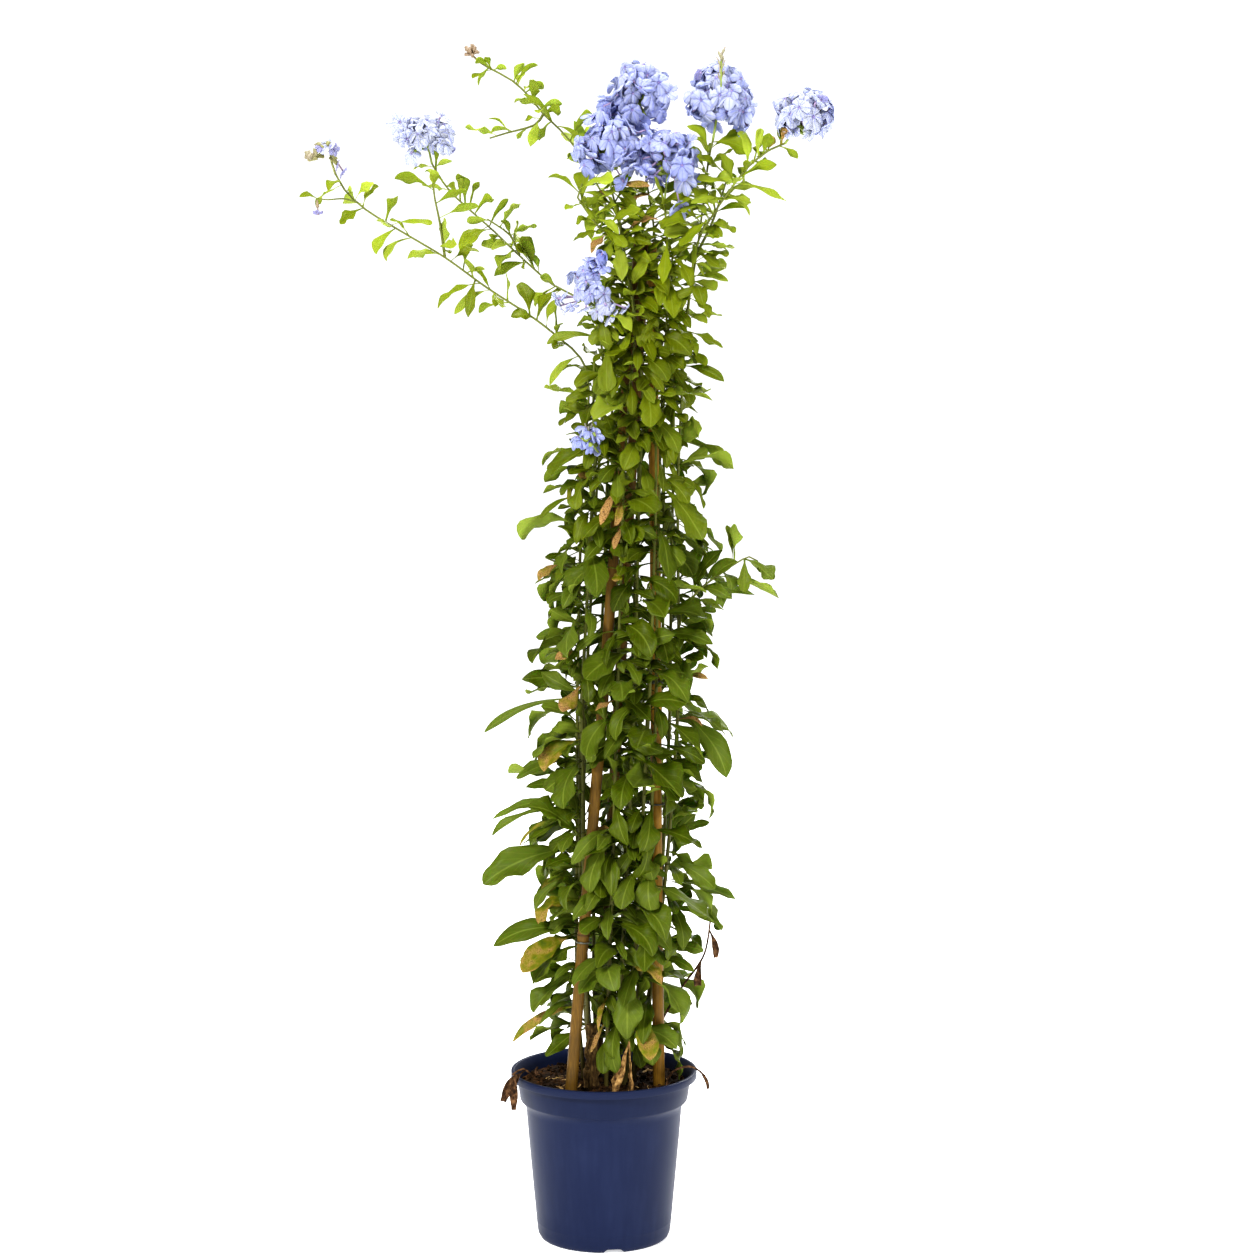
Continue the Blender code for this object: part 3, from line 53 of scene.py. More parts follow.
view = {
    "eye": Vector((0.022, -2.6, 0.818)),
    "drop": math.atan2(0.258, 2.6),  # how far the camera looks down
    "focal": 2900,  # in pixels of a frame 1256 wide
    "middle": 628,
}
studio = {
    "floor": "#fafaf9",
    "floorPatch": "#fdfdfc",
    "sky": ("#ffffff", 0.5, 1.05),  # how strongly it lights the plant, and how bright it looks behind it
    "floorGlow": 0.5,  # a floor lit from below, which leaves only a faint shadow
    "exposure": 0.0,
    "softboxes": {  # place, what it looks at, size, watts
        "keySoftbox": ((-1.7, -2.6, 2.5), (0, 0, 0.6), 1.0, 135),
        "fillSoftbox": ((2.3, -2.0, 1.4), (0, 0, 0.5), 1.0, 42),
        "topSoftbox": ((0.2, 0.4, 3.2), (0, 0, 0.6), 1.3, 85),
        "backSoftbox": ((0.9, 2.8, 2.0), (0, 0, 0.6), 1.2, 40),
    },
}


def linear(hexColour):
    # sRGB hex to the linear values that a socket takes
    parts = [int(hexColour[start:start + 2], 16) / 255 for start in (1, 3, 5)]
    return [part / 12.92 if part <= 0.04045 else ((part + 0.055) / 1.055) ** 2.4 for part in parts] + [1.0]


def setSockets(tree, node, values):
    # a socket takes a link, a colour as sRGB hex or a plain value
    for key, value in values.items():
        if isinstance(value, bpy.types.NodeSocket):
            tree.links.new(value, node.inputs[key])
        else:
            node.inputs[key].default_value = linear(value) if isinstance(value, str) else value


def addNode(tree, kind, settings, output=0):
    # A key with a small first letter is a field of the node, and any other one is a socket.
    # What comes back is one of its outputs, or all of them for None.
    node = tree.nodes.new("ShaderNode" + kind)
    fields = {key: value for key, value in settings.items() if isinstance(key, str) and key[0].islower()}
    for key, value in fields.items():
        if key != "stops":
            setattr(node, key, value)
            continue
        stops = node.color_ramp.elements
        while len(stops) < len(value):
            stops.new(1.0)
        for stop, (colour, place) in zip(stops, value):
            stop.position = place
            stop.color = linear(colour)
    setSockets(tree, node, {key: value for key, value in settings.items() if key not in fields})
    return node.outputs if output is None else node.outputs[output]


def finishMaterial(material, values):
    setSockets(material.node_tree, material.node_tree.nodes["Principled BSDF"], values)
    return material


def startMaterial(name, values):
    # a new material with what is the same all over it, the function that adds its nodes, and its coordinates
    material = bpy.data.materials.new(name)
    material.use_nodes = True
    add = partial(addNode, material.node_tree)
    return finishMaterial(material, values), add, add("TexCoord", {}, "Object")


def plainObject(name, shape, materials):
    mesh = bpy.data.meshes.new(name)
    shape.to_mesh(mesh)
    shape.free()
    mesh.shade_smooth()
    thing = bpy.data.objects.new(name, mesh)
    bpy.context.scene.collection.objects.link(thing)
    for material in materials:
        mesh.materials.append(material)
    return thing


def finishPiece(name, shape, materials, slot, *nodes, closed=False):
    if closed:
        bmesh.ops.recalc_face_normals(shape, faces=shape.faces)
    piece = plainObject(name, shape, materials)
    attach(piece, "root")
    if nodes:
        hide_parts(*nodes)
    return piece


def thicken(piece, label, thickness, edgeMaterial=0):
    skin = piece.modifiers.new(label, "SOLIDIFY")
    skin.thickness = thickness
    skin.offset = -1
    skin.material_offset = edgeMaterial


def tintedShape(plan=None):
    shape = bmesh.new()
    if plan:
        shape.loops.layers.uv.new(plan)
    return shape, shape.verts.layers.float_color.new("tint")


def makeStudio():
    scene = bpy.context.scene
    scene.world = bpy.data.worlds.new("whiteStudio")
    scene.world.use_nodes = True
    colour, lighting, backdrop = studio["sky"]
    tree = scene.world.node_tree
    seen = addNode(tree, "LightPath", {})
    glow = addNode(tree, "MapRange", {"Value": seen, "To Min": lighting, "To Max": backdrop})
    setSockets(tree, tree.nodes["Background"], {"Color": colour, "Strength": glow})
    scene.view_settings.view_transform = "Standard"
    scene.view_settings.look = "Medium High Contrast"
    scene.view_settings.exposure = studio["exposure"]

    lens = bpy.data.cameras.new("photoCamera")
    lens.sensor_width = 36
    lens.lens = view["focal"] / (view["middle"] * 2) * lens.sensor_width
    camera = bpy.data.objects.new("photoCamera", lens)
    camera.location = view["eye"]
    camera.rotation_euler = (math.pi / 2 - view["drop"], 0, 0)
    scene.collection.objects.link(camera)
    scene.camera = camera

    for name, (place, target, size, watts) in studio["softboxes"].items():
        lamp = bpy.data.lights.new(name, "AREA")
        lamp.shape = "DISK"
        lamp.size = size
        lamp.energy = watts
        box = bpy.data.objects.new(name, lamp)
        box.location = place
        box.rotation_euler = (Vector(place) - Vector(target)).to_track_quat("Z", "Y").to_euler()
        scene.collection.objects.link(box)

    # painted studio floor: matt and almost white, so that it only shows the plant's soft shadow
    paint, add, coords = startMaterial("studioFloorPaint", {
        "Roughness": 0.9, "Specular IOR Level": 0.1, "Emission Color": "#ffffff",
        "Emission Strength": studio["floorGlow"]})
    cloud = add("TexNoise", {"Vector": coords, "Scale": 3.0, "Detail": 2.0})
    tone = add("Mix", {"data_type": "RGBA", 0: cloud, 6: studio["floor"], 7: studio["floorPatch"]}, 2)
    shape = bmesh.new()
    bmesh.ops.create_grid(shape, x_segments=8, y_segments=8, size=9.0)
    plainObject("studioFloor", shape, [finishMaterial(paint, {"Base Color": tone})])


makeStudio()
print("studio ready")

# What grows where: the same rule as the frame's, so that each fine leaf lies on its solid one.
# Plan lengths are in millimetres, +Z up.

pot = {
    "rimRadius": 85 * mm,
    "rimInnerRadius": 82 * mm,
    "height": 155 * mm,
}
soil = {
    "top": 144 * mm,
    "line": 152,
    "footHeight": (144 * mm - 14 * mm + gap) / mm,  # of a stem, just over the floor of its hole
}
canes = {
    "lines": {
        "cane_left": ((-29, -55), (31.5, -4)),
        "cane_right": ((50, -18), (43.5, -4.5)),
        "cane_back": ((-7, 50), (37.5, 7)),
    },
    "top": 904 * mm,
    "radius": (5.4 * mm, 4.5 * mm),
    "knuckles": (0.21, 0.44, 0.66, 0.87),
}
column = {  # the stems' column: height, middle in X, half width and half depth
    "table": ((120, 6, 21, 19), (200, 9, 30, 26), (300, 13, 38, 33), (500, 20, 44, 38), (700, 26, 41, 34),
              (850, 34, 31, 27), (950, 38, 22, 20)),
    "foot": 134,
    "rise": 70,
    "wobble": 2.2,
}
stems = {
    "radius": (2.3 * mm, 0.9 * mm),
    "taperTop": 900 * mm,
    # angle round the column, reach, top in the column and the way on from there
    "routes": {
        "stem_front_left": (-100, 1.0, 860, [(15, -28, 898), (-3, -36, 916), (-16, -40, 933),
            (-22, -42, 942), (-18, -44, 954)]),
        "stem_front_mid": (-79, 0.86, 800, [(27, -24, 850), (18, -24, 900), (10, -24, 940), (7, -23, 952)]),
        "stem_front_right": (-62, 1.04, 740, [(46, -24, 790), (49, -22, 840)]),
        "stem_right_front": (-46, 0.9, 820, [(58, -18, 870), (57, -20, 905), (54, -20, 938)]),
        "stem_right_low": (-3, 1.05, 760, [(72, -8, 810), (76, -12, 850), (82, -16, 900), (95, -20, 925),
            (110, -24, 947), (127, -26, 969), (146, -28, 984), (160, -28, 990)]),
        "stem_right_tall": (17, 0.98, 740, [(64, 8, 791), (71, 7, 820), (76, 6, 852), (83, 2, 894),
            (89, -3, 940), (93, -7, 975), (97, -9, 994)]),
        "stem_right_back": (40, 0.92, 800, [(60, 18, 850), (62, 17, 900)]),
        "stem_back_right": (62, 1.05, 860, [(46, 17, 910), (40, 13, 950), (35, 9, 985), (34, 6, 1005)]),
        "stem_back": (82, 0.9, 700, [(33, 30, 760), (36, 28, 800)]),
        "stem_back_left": (124, 1.02, 860, [(18, 22, 912), (-3, 26, 952), (-21, 30, 984), (-39, 34, 1006),
            (-54, 36, 1020), (-66, 38, 1035), (-82, 40, 1050), (-104, 42, 1062), (-112, 42, 1067)]),
        "stem_left_back": (148, 0.95, 790, [(-6, 15, 838), (-23, 18, 856), (-46, 24, 868), (-76, 34, 894),
            (-98, 40, 915), (-115, 44, 930), (-133, 46, 946), (-145, 46, 960), (-155, 44, 977)]),
        "stem_left": (170, 1.05, 720, [(-13, -6, 775), (-20, -12, 802), (-38, -20, 819), (-62, -28, 838),
            (-102, -38, 864), (-138, -46, 890), (-175, -52, 912), (-206, -56, 931), (-224, -58, 948),
            (-232, -58, 962)]),
        "stem_left_front": (192, 0.9, 700, [(-9, -10, 750), (-8, -12, 800)]),
        "stem_front_bloom": (216, 1.04, 760, [(5, -21, 800), (2, -29, 822), (-2, -38, 836), (-6, -42, 846)]),
    },
}
twigs = {
    "radius": (1.3 * mm, 0.7 * mm),
    "routes": {
        "fork_low": ("stem_left", [(-138, -46, 890), (-142, -50, 920), (-146, -52, 940), (-148, -54, 956)]),
        "fork_mid": ("stem_left_back", [(-76, 34, 894), (-84, 30, 912), (-104, 22, 926)]),
        "fork_top": ("stem_back_left", [(-54, 36, 1020), (-62, 34, 1010), (-86, 30, 1003), (-102, 28, 998)]),
        "twig_right": ("stem_right_low", [(64, -3, 560), (74, -8, 579), (86, -14, 596), (105, -20, 611),
            (118, -22, 620), (130, -22, 626), (138, -22, 622)]),
        "twig_bloom": ("stem_front_left", [(19, -33, 700), (8, -38, 711), (-3, -42, 718)]),
        "twig_left": ("stem_left", [(-25, 5, 612), (-38, -2, 618), (-52, -6, 624)]),
        "twig_high": ("stem_right_tall", [(83, 2, 894), (96, 2, 920), (106, 4, 948), (112, 4, 968)]),
    },
}
leafRule = {
    # height, spacing along the stem, length and width
    "sizes": ((180, 46, 66, 27), (350, 49, 66, 27), (550, 48, 61, 24), (750, 42, 52, 20), (900, 29, 39, 15),
              (1080, 24, 29, 11)),
    "from": 190,
    "keel": 0.9 * mm,
    "petioleHalf": 0.8 * mm,
    "petioleShare": 0.12,
    "tries": 26,
    "mostRoll": 1.25,
    "clear": 0.7 * mm,
    "phyllotaxis": 137.5,
}
# leaves that the photo shows: pixel of the root, pixel of the tip, width in pixels, mm in front
seenLeaves = (
    (556, 850, 483, 884, 30, 24), (577, 842, 531, 802, 24, 40), (540, 806, 494, 820, 9, 20),
    (540, 812, 493, 840, 9, 34), (573, 862, 545, 868, 13, 44), (574, 874, 530, 910, 11, 14),
    (573, 900, 532, 916, 18, 36), (560, 928, 490, 940, 24, 24), (580, 937, 523, 974, 24, 50),
    (566, 966, 532, 1012, 21, 30), (598, 925, 656, 950, 24, 74), (653, 962, 611, 1003, 20, 72),
    (598, 986, 624, 968, 14, 66), (656, 806, 648, 856, 20, 66), (664, 868, 648, 908, 25, 64),
    (598, 838, 586, 892, 22, 66), (682, 862, 716, 890, 19, 30), (683, 880, 734, 902, 14, 14),
    (680, 910, 725, 923, 14, 26), (674, 905, 688, 947, 17, 44), (668, 958, 703, 951, 12, 30),
    (618, 1018, 611, 1074, 21, 76), (646, 1010, 642, 1066, 24, 72), (572, 1030, 547, 1058, 16, 44),
    (560, 1006, 513, 1042, 10, 30), (572, 1008, 532, 1018, 9, 50), (608, 996, 630, 1030, 20, 58),
    (676, 808, 699, 810, 15, 34), (686, 846, 710, 822, 8, 10), (630, 792, 600, 800, 11, 62),
    (632, 757, 678, 801, 30, 68), (600, 745, 660, 752, 17, 56), (600, 548, 599, 600, 26, 76),
    (596, 608, 594, 632, 13, 62), (582, 606, 546, 600, 12, 34), (590, 588, 563, 608, 14, 46),
    (566, 688, 522, 680, 20, 12), (566, 697, 484, 732, 8, 14), (582, 684, 564, 714, 17, 52),
    (597, 714, 583, 757, 21, 66), (580, 738, 541, 770, 23, 34), (566, 758, 517, 780, 9, 22),
    (573, 775, 547, 790, 19, 44), (572, 612, 562, 662, 13, 34), (606, 660, 641, 684, 12, 66),
    (626, 664, 668, 634, 19, 60), (664, 636, 712, 643, 14, 44), (684, 652, 684, 696, 21, 42),
    (640, 684, 634, 705, 13, 64), (603, 706, 650, 722, 17, 66), (684, 712, 729, 777, 27, 26),
    (664, 540, 681, 565, 17, 54), (662, 552, 627, 562, 13, 62), (632, 578, 681, 603, 21, 62),
    (686, 600, 722, 550, 15, 22), (688, 598, 733, 587, 14, 30), (690, 602, 716, 612, 8, 10),
    (668, 484, 702, 541, 24, 46), (688, 652, 706, 660, 13, 30), (690, 682, 708, 680, 8, 20),
    (600, 372, 575, 383, 15, 42), (580, 356, 549, 385, 8, 20), (592, 340, 546, 341, 11, 30),
    (600, 394, 566, 402, 13, 34), (590, 404, 566, 424, 8, 22), (588, 444, 552, 476, 25, 38),
    (594, 490, 559, 490, 14, 34), (570, 496, 540, 518, 6, 16), (584, 498, 576, 544, 13, 40),
    (611, 412, 613, 437, 15, 60), (606, 432, 602, 451, 11, 56), (640, 440, 626, 468, 19, 60),
    (640, 402, 648, 425, 19, 56), (632, 380, 654, 404, 13, 54), (648, 302, 606, 293, 13, 50),
    (646, 311, 624, 328, 12, 48), (655, 336, 690, 354, 22, 40), (690, 334, 698, 356, 9, 16),
    (684, 324, 707, 324, 9, 20), (696, 298, 712, 316, 13, 16), (694, 282, 716, 290, 14, 12),
    (700, 276, 728, 282, 9, 4), (690, 262, 706, 276, 12, 4), (684, 366, 724, 382, 11, 18),
    (690, 398, 668, 419, 14, 30), (664, 424, 676, 464, 12, 40), (668, 482, 695, 490, 11, 34),
    (671, 284, 673, 319, 18, 46), (672, 272, 652, 268, 13, 40), (632, 368, 660, 373, 8, 50),
    (660, 610, 652, 622, 10, 54), (620, 520, 632, 545, 15, 60), (650, 500, 630, 512, 12, 56),
    (650, 560, 668, 575, 13, 20), (707, 566, 722, 548, 12, 24), (738, 556, 728, 526, 11, 24),
    (740, 558, 744, 592, 13, 30), (752, 558, 772, 580, 11, 22), (574, 562, 545, 557, 8, 10),
    (648, 326, 652, 362, 15, 46), (612, 352, 634, 342, 13, 50), (612, 252, 608, 288, 18, 48),
    (650, 250, 640, 285, 14, 42), (668, 250, 660, 280, 14, 40), (600, 325, 592, 345, 12, 44),
    (640, 462, 650, 492, 14, 52), (622, 470, 616, 505, 14, 56), (636, 498, 655, 515, 13, 50),
    (612, 326, 606, 352, 14, 50), (638, 344, 616, 372, 14, 52), (660, 350, 672, 374, 12, 40),
    (640, 420, 618, 428, 12, 54),
)
blooms = {
    # middle, half sizes, large florets and their width
    "heads": {
        "bloom_a": ((-160, 42, 1001), (26, 24, 18), 7, 26),
        "bloom_b": ((-238, -60, 982), (12, 12, 11), 3, 17),
        "bloom_c1": ((33, 2, 1036), (26, 26, 26), 9, 31),
        "bloom_c2": ((6, -24, 986), (29, 28, 26), 10, 31),
        "bloom_c3": ((58, -22, 976), (27, 27, 28), 9, 31),
        "bloom_d": ((103, -10, 1030), (28, 28, 30), 10, 31),
        "bloom_e": ((177, -28, 1014), (24, 24, 20), 7, 28),
        "bloom_f": ((-12, -48, 866), (24, 19, 32), 8, 27),
        "bloom_g": ((-13, -46, 732), (12, 11, 13), 3, 20),
        "bloom_h": ((-118, 42, 1073), (6, 6, 6), 0, 0),
    },
    "coreShare": 0.42,
    "stalkRadius": 1.1 * mm,
    "floretDepth": 1.4 * mm,
}
deadGrowth = {
    # foot and route, then withered leaves: share of the route, tip and width
    "stems": {
        "dead_stem": ([(47, 12, 136), (49, 10, 179), (54, 2, 201), (71, -6, 232), (91, -10, 263),
            (97, -12, 299)],
            [(0.55, (78, -12, 216), 7), (0.8, (86, -16, 236), 8), (0.93, (101, -18, 262), 6)]),
        "dead_sprig_left": ([(-56, -34, 134), (-62, -38, 156), (-72, -44, 166), (-82, -50, 162)],
            [(0.74, (-90, -52, 138), 12), (0.95, (-80, -66, 134), 9), (0.5, (-60, -52, 166), 9)]),
        "dead_leaf_front": ([(22, -58, 134), (24, -62, 160), (23, -64, 196)],
                            [(0.97, (16, -73, 145), 9), (0.7, (26, -71, 149), 5)]),
        "dead_twig_right": ([(58, -30, 134), (66, -34, 163), (80, -41, 167), (91, -45, 160)],
            [(0.9, (94, -46, 148), 5)]),
    },
    "radius": (1.4 * mm, 0.8 * mm),
}
crown = {
    "place": (-11, -27),
    "top": 206 * mm,
    "radius": 7.5 * mm,
}
ties = {
    "rings": {
        "tie_left": ("cane_left", 282, 0.8),
        "tie_right": ("cane_right", 402, 0.8),
        "clip_right": ("cane_right", 513, 1.5),
    },
    "topHeight": 892,
    "topThick": 0.9 * mm,
}


def metres(point):
    return Vector(point) * mm


def anyWay(draw):
    return Vector([draw.uniform(-1, 1) for _ in range(3)])


def smoothRoute(points, step):
    # Points about a step apart on a smooth curve through the route's own points.
    ends = [points[0] * 2 - points[1]] + list(points) + [points[-1] * 2 - points[-2]]
    path = []
    for before, start, end, after in zip(ends, ends[1:], ends[2:], ends[3:]):
        count = max(1, round((end - start).length / step))
        for index in range(count):
            t = index / count
            bend = (before * -1 + start * 3 - end * 3 + after) * t ** 3
            bow = (before * 2 - start * 5 + end * 4 - after) * t ** 2
            path.append((bend + bow + (end - before) * t + start * 2) / 2)
    path.append(points[-1].copy())
    return path


def plainer(path, slack):
    # Keeps only the points that the route's shape needs.
    if len(path) < 3:
        return list(path)
    chord = path[-1] - path[0]
    offs = [((p - path[0]) - (p - path[0]).project(chord)).length for p in path]
    widest = max(range(len(path)), key=lambda index: offs[index])
    if offs[widest] < slack:
        return [path[0], path[-1]]
    return plainer(path[:widest + 1], slack)[:-1] + plainer(path[widest:], slack)


def between(table, height, index):
    # A value read from a table of rows that start with a height in millimetres.
    for low, high in zip(table, table[1:]):
        if height <= high[0]:
            share = max(0.0, (height - low[0]) / (high[0] - low[0]))
            return low[index] + (high[index] - low[index]) * share
    return table[-1][index]


def columnPoint(angle, reach, height, phase):
    centre, halfWidth, halfDepth = (between(column["table"], height, index) for index in (1, 2, 3))
    sway = column["wobble"] * math.sin(height / 95 + phase)
    across = (halfWidth * reach + sway) * math.cos(angle)
    deep = (halfDepth * reach + sway) * math.sin(angle)
    return Vector((centre + across, deep, height))


def rootedRoute(points, step):
    # A route whose foot stands upright in its hole in the soil, up to the soil line.
    across, deep = points[0][:2]
    upright = [(across, deep, soil["footHeight"]), (across, deep, soil["line"])]
    return smoothRoute([metres(point) for point in upright + list(points[1:])], step)


def stemRoute(name, slack=0.8 * mm):
    degrees, reach, top, onward = stems["routes"][name]
    angle = math.radians(degrees)
    heights = range(column["foot"], top + 1, column["rise"])
    points = [columnPoint(angle, reach, height, degrees) for height in heights] + onward
    return plainer(rootedRoute(points, 12 * mm), slack)


def deadRoute(name):
    return plainer(rootedRoute(deadGrowth["stems"][name][0], 8 * mm), 0.5 * mm)


def twigRoute(name, slack=0.6 * mm):
    owner, points = twigs["routes"][name]
    path = plainer(smoothRoute([metres(point) for point in points], 8 * mm), slack)
    carrier = stemRoute(owner)
    path[0] = nearestOn(carrier, path[0])
    return path


def nearestOn(path, place):
    best = None
    for start, end in zip(path, path[1:]):
        share = max(0.0, min(1.0, (place - start).dot(end - start) / (end - start).length_squared))
        spot = start.lerp(end, share)
        if best is None or (spot - place).length < (best - place).length:
            best = spot
    return best


def taper(path, radii, top=None):
    # Radii that shrink along a path, or with height up to a top.
    if top:
        shares = [min(1.0, max(0.0, place.z / top)) for place in path]
    else:
        shares = [index / (len(path) - 1) for index in range(len(path))]
    return [radii[0] + (radii[1] - radii[0]) * share for share in shares]


def walk(path, distance):
    # The place and heading at a distance along a path.
    for start, end in zip(path, path[1:]):
        length = (end - start).length
        if distance <= length:
            return start.lerp(end, distance / length), (end - start).normalized()
        distance -= length
    return path[-1].copy(), (path[-1] - path[-2]).normalized()


def pathLength(path):
    return sum((end - start).length for start, end in zip(path, path[1:]))


def tubeFaces(path, radii, sides=6):
    # A plain tube, used to see what a leaf would touch.
    points, faces = [], []
    for index, place in enumerate(path):
        ahead = path[min(index + 1, len(path) - 1)] - path[max(index - 1, 0)]
        side = ahead.cross(Vector((0.31, 0.95, 0.02))).normalized()
        other = ahead.cross(side).normalized()
        for step in range(sides):
            angle = math.tau * step / sides
            points.append(place + (side * math.cos(angle) + other * math.sin(angle)) * radii[index])
    for index in range(len(path) - 1):
        for step in range(sides):
            a, b = index * sides + step, index * sides + (step + 1) % sides
            faces += [(a, b, b + sides), (a, b + sides, a + sides)]
    return points, faces


def outline(share):
    # Half width of a blade as a share of its widest: tapered at the base, blunt at the tip.
    return share ** 1.1 * (1 - share) ** 0.45 / 0.393


@dataclass
class Blade:
    # One leaf: its midrib bends evenly in an upright plane, from its first pitch to its last.
    root: Vector
    azimuth: float
    pitches: tuple
    length: float
    width: float
    roll: float = 0.0
    twist: float = 0.0
    sway: float = 0.0
    wave: float = 0.0
    dry: float = 0.0  # from about 0.4 at the margin to 0.8 for the whole blade
    seen: bool = False  # laid where the photo shows it

    def frame(self, t):
        start, end = self.pitches
        bend = end - start if abs(end - start) > 0.02 else 0.02
        pitch = start + bend * t
        heading = Vector((math.cos(self.azimuth), math.sin(self.azimuth), 0))
        up = Vector((0, 0, 1))
        run = (math.sin(pitch) - math.sin(start)) / bend
        rise = (math.cos(start) - math.cos(pitch)) / bend
        flatSide = up.cross(heading)
        place = self.root + (heading * run + up * rise + flatSide * self.sway * t * t) * self.length
        along = heading * math.cos(pitch) + up * math.sin(pitch)
        normal = along.cross(flatSide)
        turn = (self.roll + self.twist * t) * min(1.0, t * 3)
        side = flatSide * math.cos(turn) + normal * math.sin(turn)
        return place, side, along.cross(side)

    def face(self, towards, share):
        # Rolls the blade so that its upper side turns towards a direction.
        self.roll = 0.0
        side, normal = self.frame(0.6)[1:]
        turn = share * math.atan2(-towards.dot(side), towards.dot(normal))
        self.roll = max(-leafRule["mostRoll"], min(leafRule["mostRoll"], turn))
        return self

    def halfWidth(self, t):
        stalk = leafRule["petioleShare"]
        if t <= stalk:
            return leafRule["petioleHalf"]
        return max(leafRule["petioleHalf"], self.width / 2 * outline((t - stalk) / (1 - stalk)))

    def edgeLift(self, t, side):
        # The edges stand above the midrib and wave.
        half = self.halfWidth(t)
        swing = math.sin(self.wave + t * 11 + side * 1.3)
        return half * 0.24 + (half - leafRule["petioleHalf"]) * 0.2 * swing


def bladeFaces(blade, stations, swell=0.0):
    # A closed loft through sections of two edges and a keel: waved above, ribbed below.
    points, faces = [blade.root], []
    for t in stations:
        place, side, normal = blade.frame(t)
        half = blade.halfWidth(t) + swell
        left = place - side * half + normal * blade.edgeLift(t, -1)
        right = place + side * half + normal * blade.edgeLift(t, 1)
        points += [left, place - normal * (leafRule["keel"] + swell), right]
    points.append(blade.frame(1.0)[0])
    tip = len(points) - 1
    for step in range(3):
        after = (step + 1) % 3
        faces.append((0, 1 + after, 1 + step))
        faces.append((tip, tip - 3 + step, tip - 3 + after))
    for ring in range(len(stations) - 1):
        left = 1 + ring * 3
        keel, right = left + 1, left + 2
        faces += [(left, keel, keel + 3), (left, keel + 3, left + 3)]
        faces += [(keel, right, right + 3), (keel, right + 3, keel + 3)]
        faces += [(right, left, right + 3), (left, left + 3, right + 3)]
    return points, faces


def floretFaces(throat, outward, size, root, spin, cup=0.1):
    # Five petals round a throat, on a slender three-sided tube that ends in its root.
    radius = size / 2
    petal = math.tau / 5
    across = outward.orthogonal().normalized()
    other = outward.cross(across)

    def spot(turn, reach, lift):
        angle = spin + turn * petal
        return throat + (across * math.cos(angle) + other * math.sin(angle)) * reach + outward * lift

    points = [throat, root]
    points += [spot(turn, radius * 0.13, -blooms["floretDepth"]) for turn in (0.5, 2.5, 4)]
    for index in range(5):
        points.append(spot(index - 0.24, radius, -cup * radius))
        points.append(spot(index + 0.24, radius, -cup * radius))
        points.append(spot(index + 0.5, radius * 0.42, -cup * radius * 0.2))
    faces = [(1, 3, 2), (1, 4, 3), (1, 2, 4)]
    underOf = (2, 2, 3, 3, 4)
    for index in range(5):
        left, right, notch = (5 + index * 3 + step for step in range(3))
        last = 5 + (index - 1) % 5 * 3 + 2
        under, nextUnder = underOf[index], underOf[(index + 1) % 5]
        for start, end in ((last, left), (left, right), (right, notch)):
            faces += [(0, start, end), (under, end, start)]
        if nextUnder != under:
            faces.append((under, nextUnder, notch))
    return points, faces


class Space:
    def __init__(self):
        self.taken = []

    def add(self, points, faces, owner):
        middle = sum(points, Vector()) / len(points)
        reach = max((point - middle).length for point in points)
        self.taken.append((middle, reach, BVHTree.FromPolygons(points, faces), owner))

    def isFree(self, points, faces, owner):
        for point in points[1:]:
            flat = math.hypot(point.x, point.y)
            overPot = flat < pot["rimRadius"] + 3 * mm
            onRim = overPot and flat > pot["rimInnerRadius"] - 4 * mm
            if overPot and point.z < soil["top"] + 7 * mm or onRim and point.z < pot["height"] + 2 * mm:
                return False
        middle = sum(points, Vector()) / len(points)
        reach = max((point - middle).length for point in points)
        tree = None
        for other, otherReach, otherTree, otherOwner in self.taken:
            if otherOwner == owner or (other - middle).length > reach + otherReach:
                continue
            tree = tree or BVHTree.FromPolygons(points, faces)
            if tree.overlap(otherTree):
                return False
        return True


def addTube(space, path, radii, owner):
    # A long tube goes in as short stretches, so that most of it is ruled out quickly.
    for index in range(len(path) - 1):
        points, faces = tubeFaces(path[index:index + 2], radii[index:index + 2])
        space.add(points, faces, owner)


def caneLine(name):
    foot, top = canes["lines"][name]
    start = Vector((foot[0] * mm, foot[1] * mm, soil["top"]))
    end = Vector((top[0] * mm, top[1] * mm, canes["top"]))
    return start, end


def onCane(name, height):
    start, end = caneLine(name)
    share = (height * mm - start.z) / (end.z - start.z)
    return start.lerp(end, share), (end - start).normalized()


def tiePlaces():
    # Middle, axis, radius and thickness of each tie: those round one cane, then the one round all three.
    places = {}
    for name, (cane, height, thick) in ties["rings"].items():
        place, lean = onCane(cane, height)
        places[name] = (place, lean, canes["radius"][0] + thick * mm + gap * 2, thick * mm)
    tops = [onCane(name, ties["topHeight"])[0] for name in canes["lines"]]
    middle = sum(tops, Vector()) / len(tops)
    spread = max((top - middle).length for top in tops)
    radius = spread + canes["radius"][1] + ties["topThick"] + gap * 3
    places["tie_top"] = (middle, Vector((0, 0, 1)), radius, ties["topThick"])
    return places


def bloomStalk(name, routes):
    # From just above the nearest branch tip to the middle of the head.
    middle = metres(blooms["heads"][name][0])
    tip = min((path[-1] for path in routes.values()), key=lambda end: (end - middle).length)
    return [tip + (middle - tip).normalized() * (gap * 2), tip.lerp(middle, 0.5), middle]


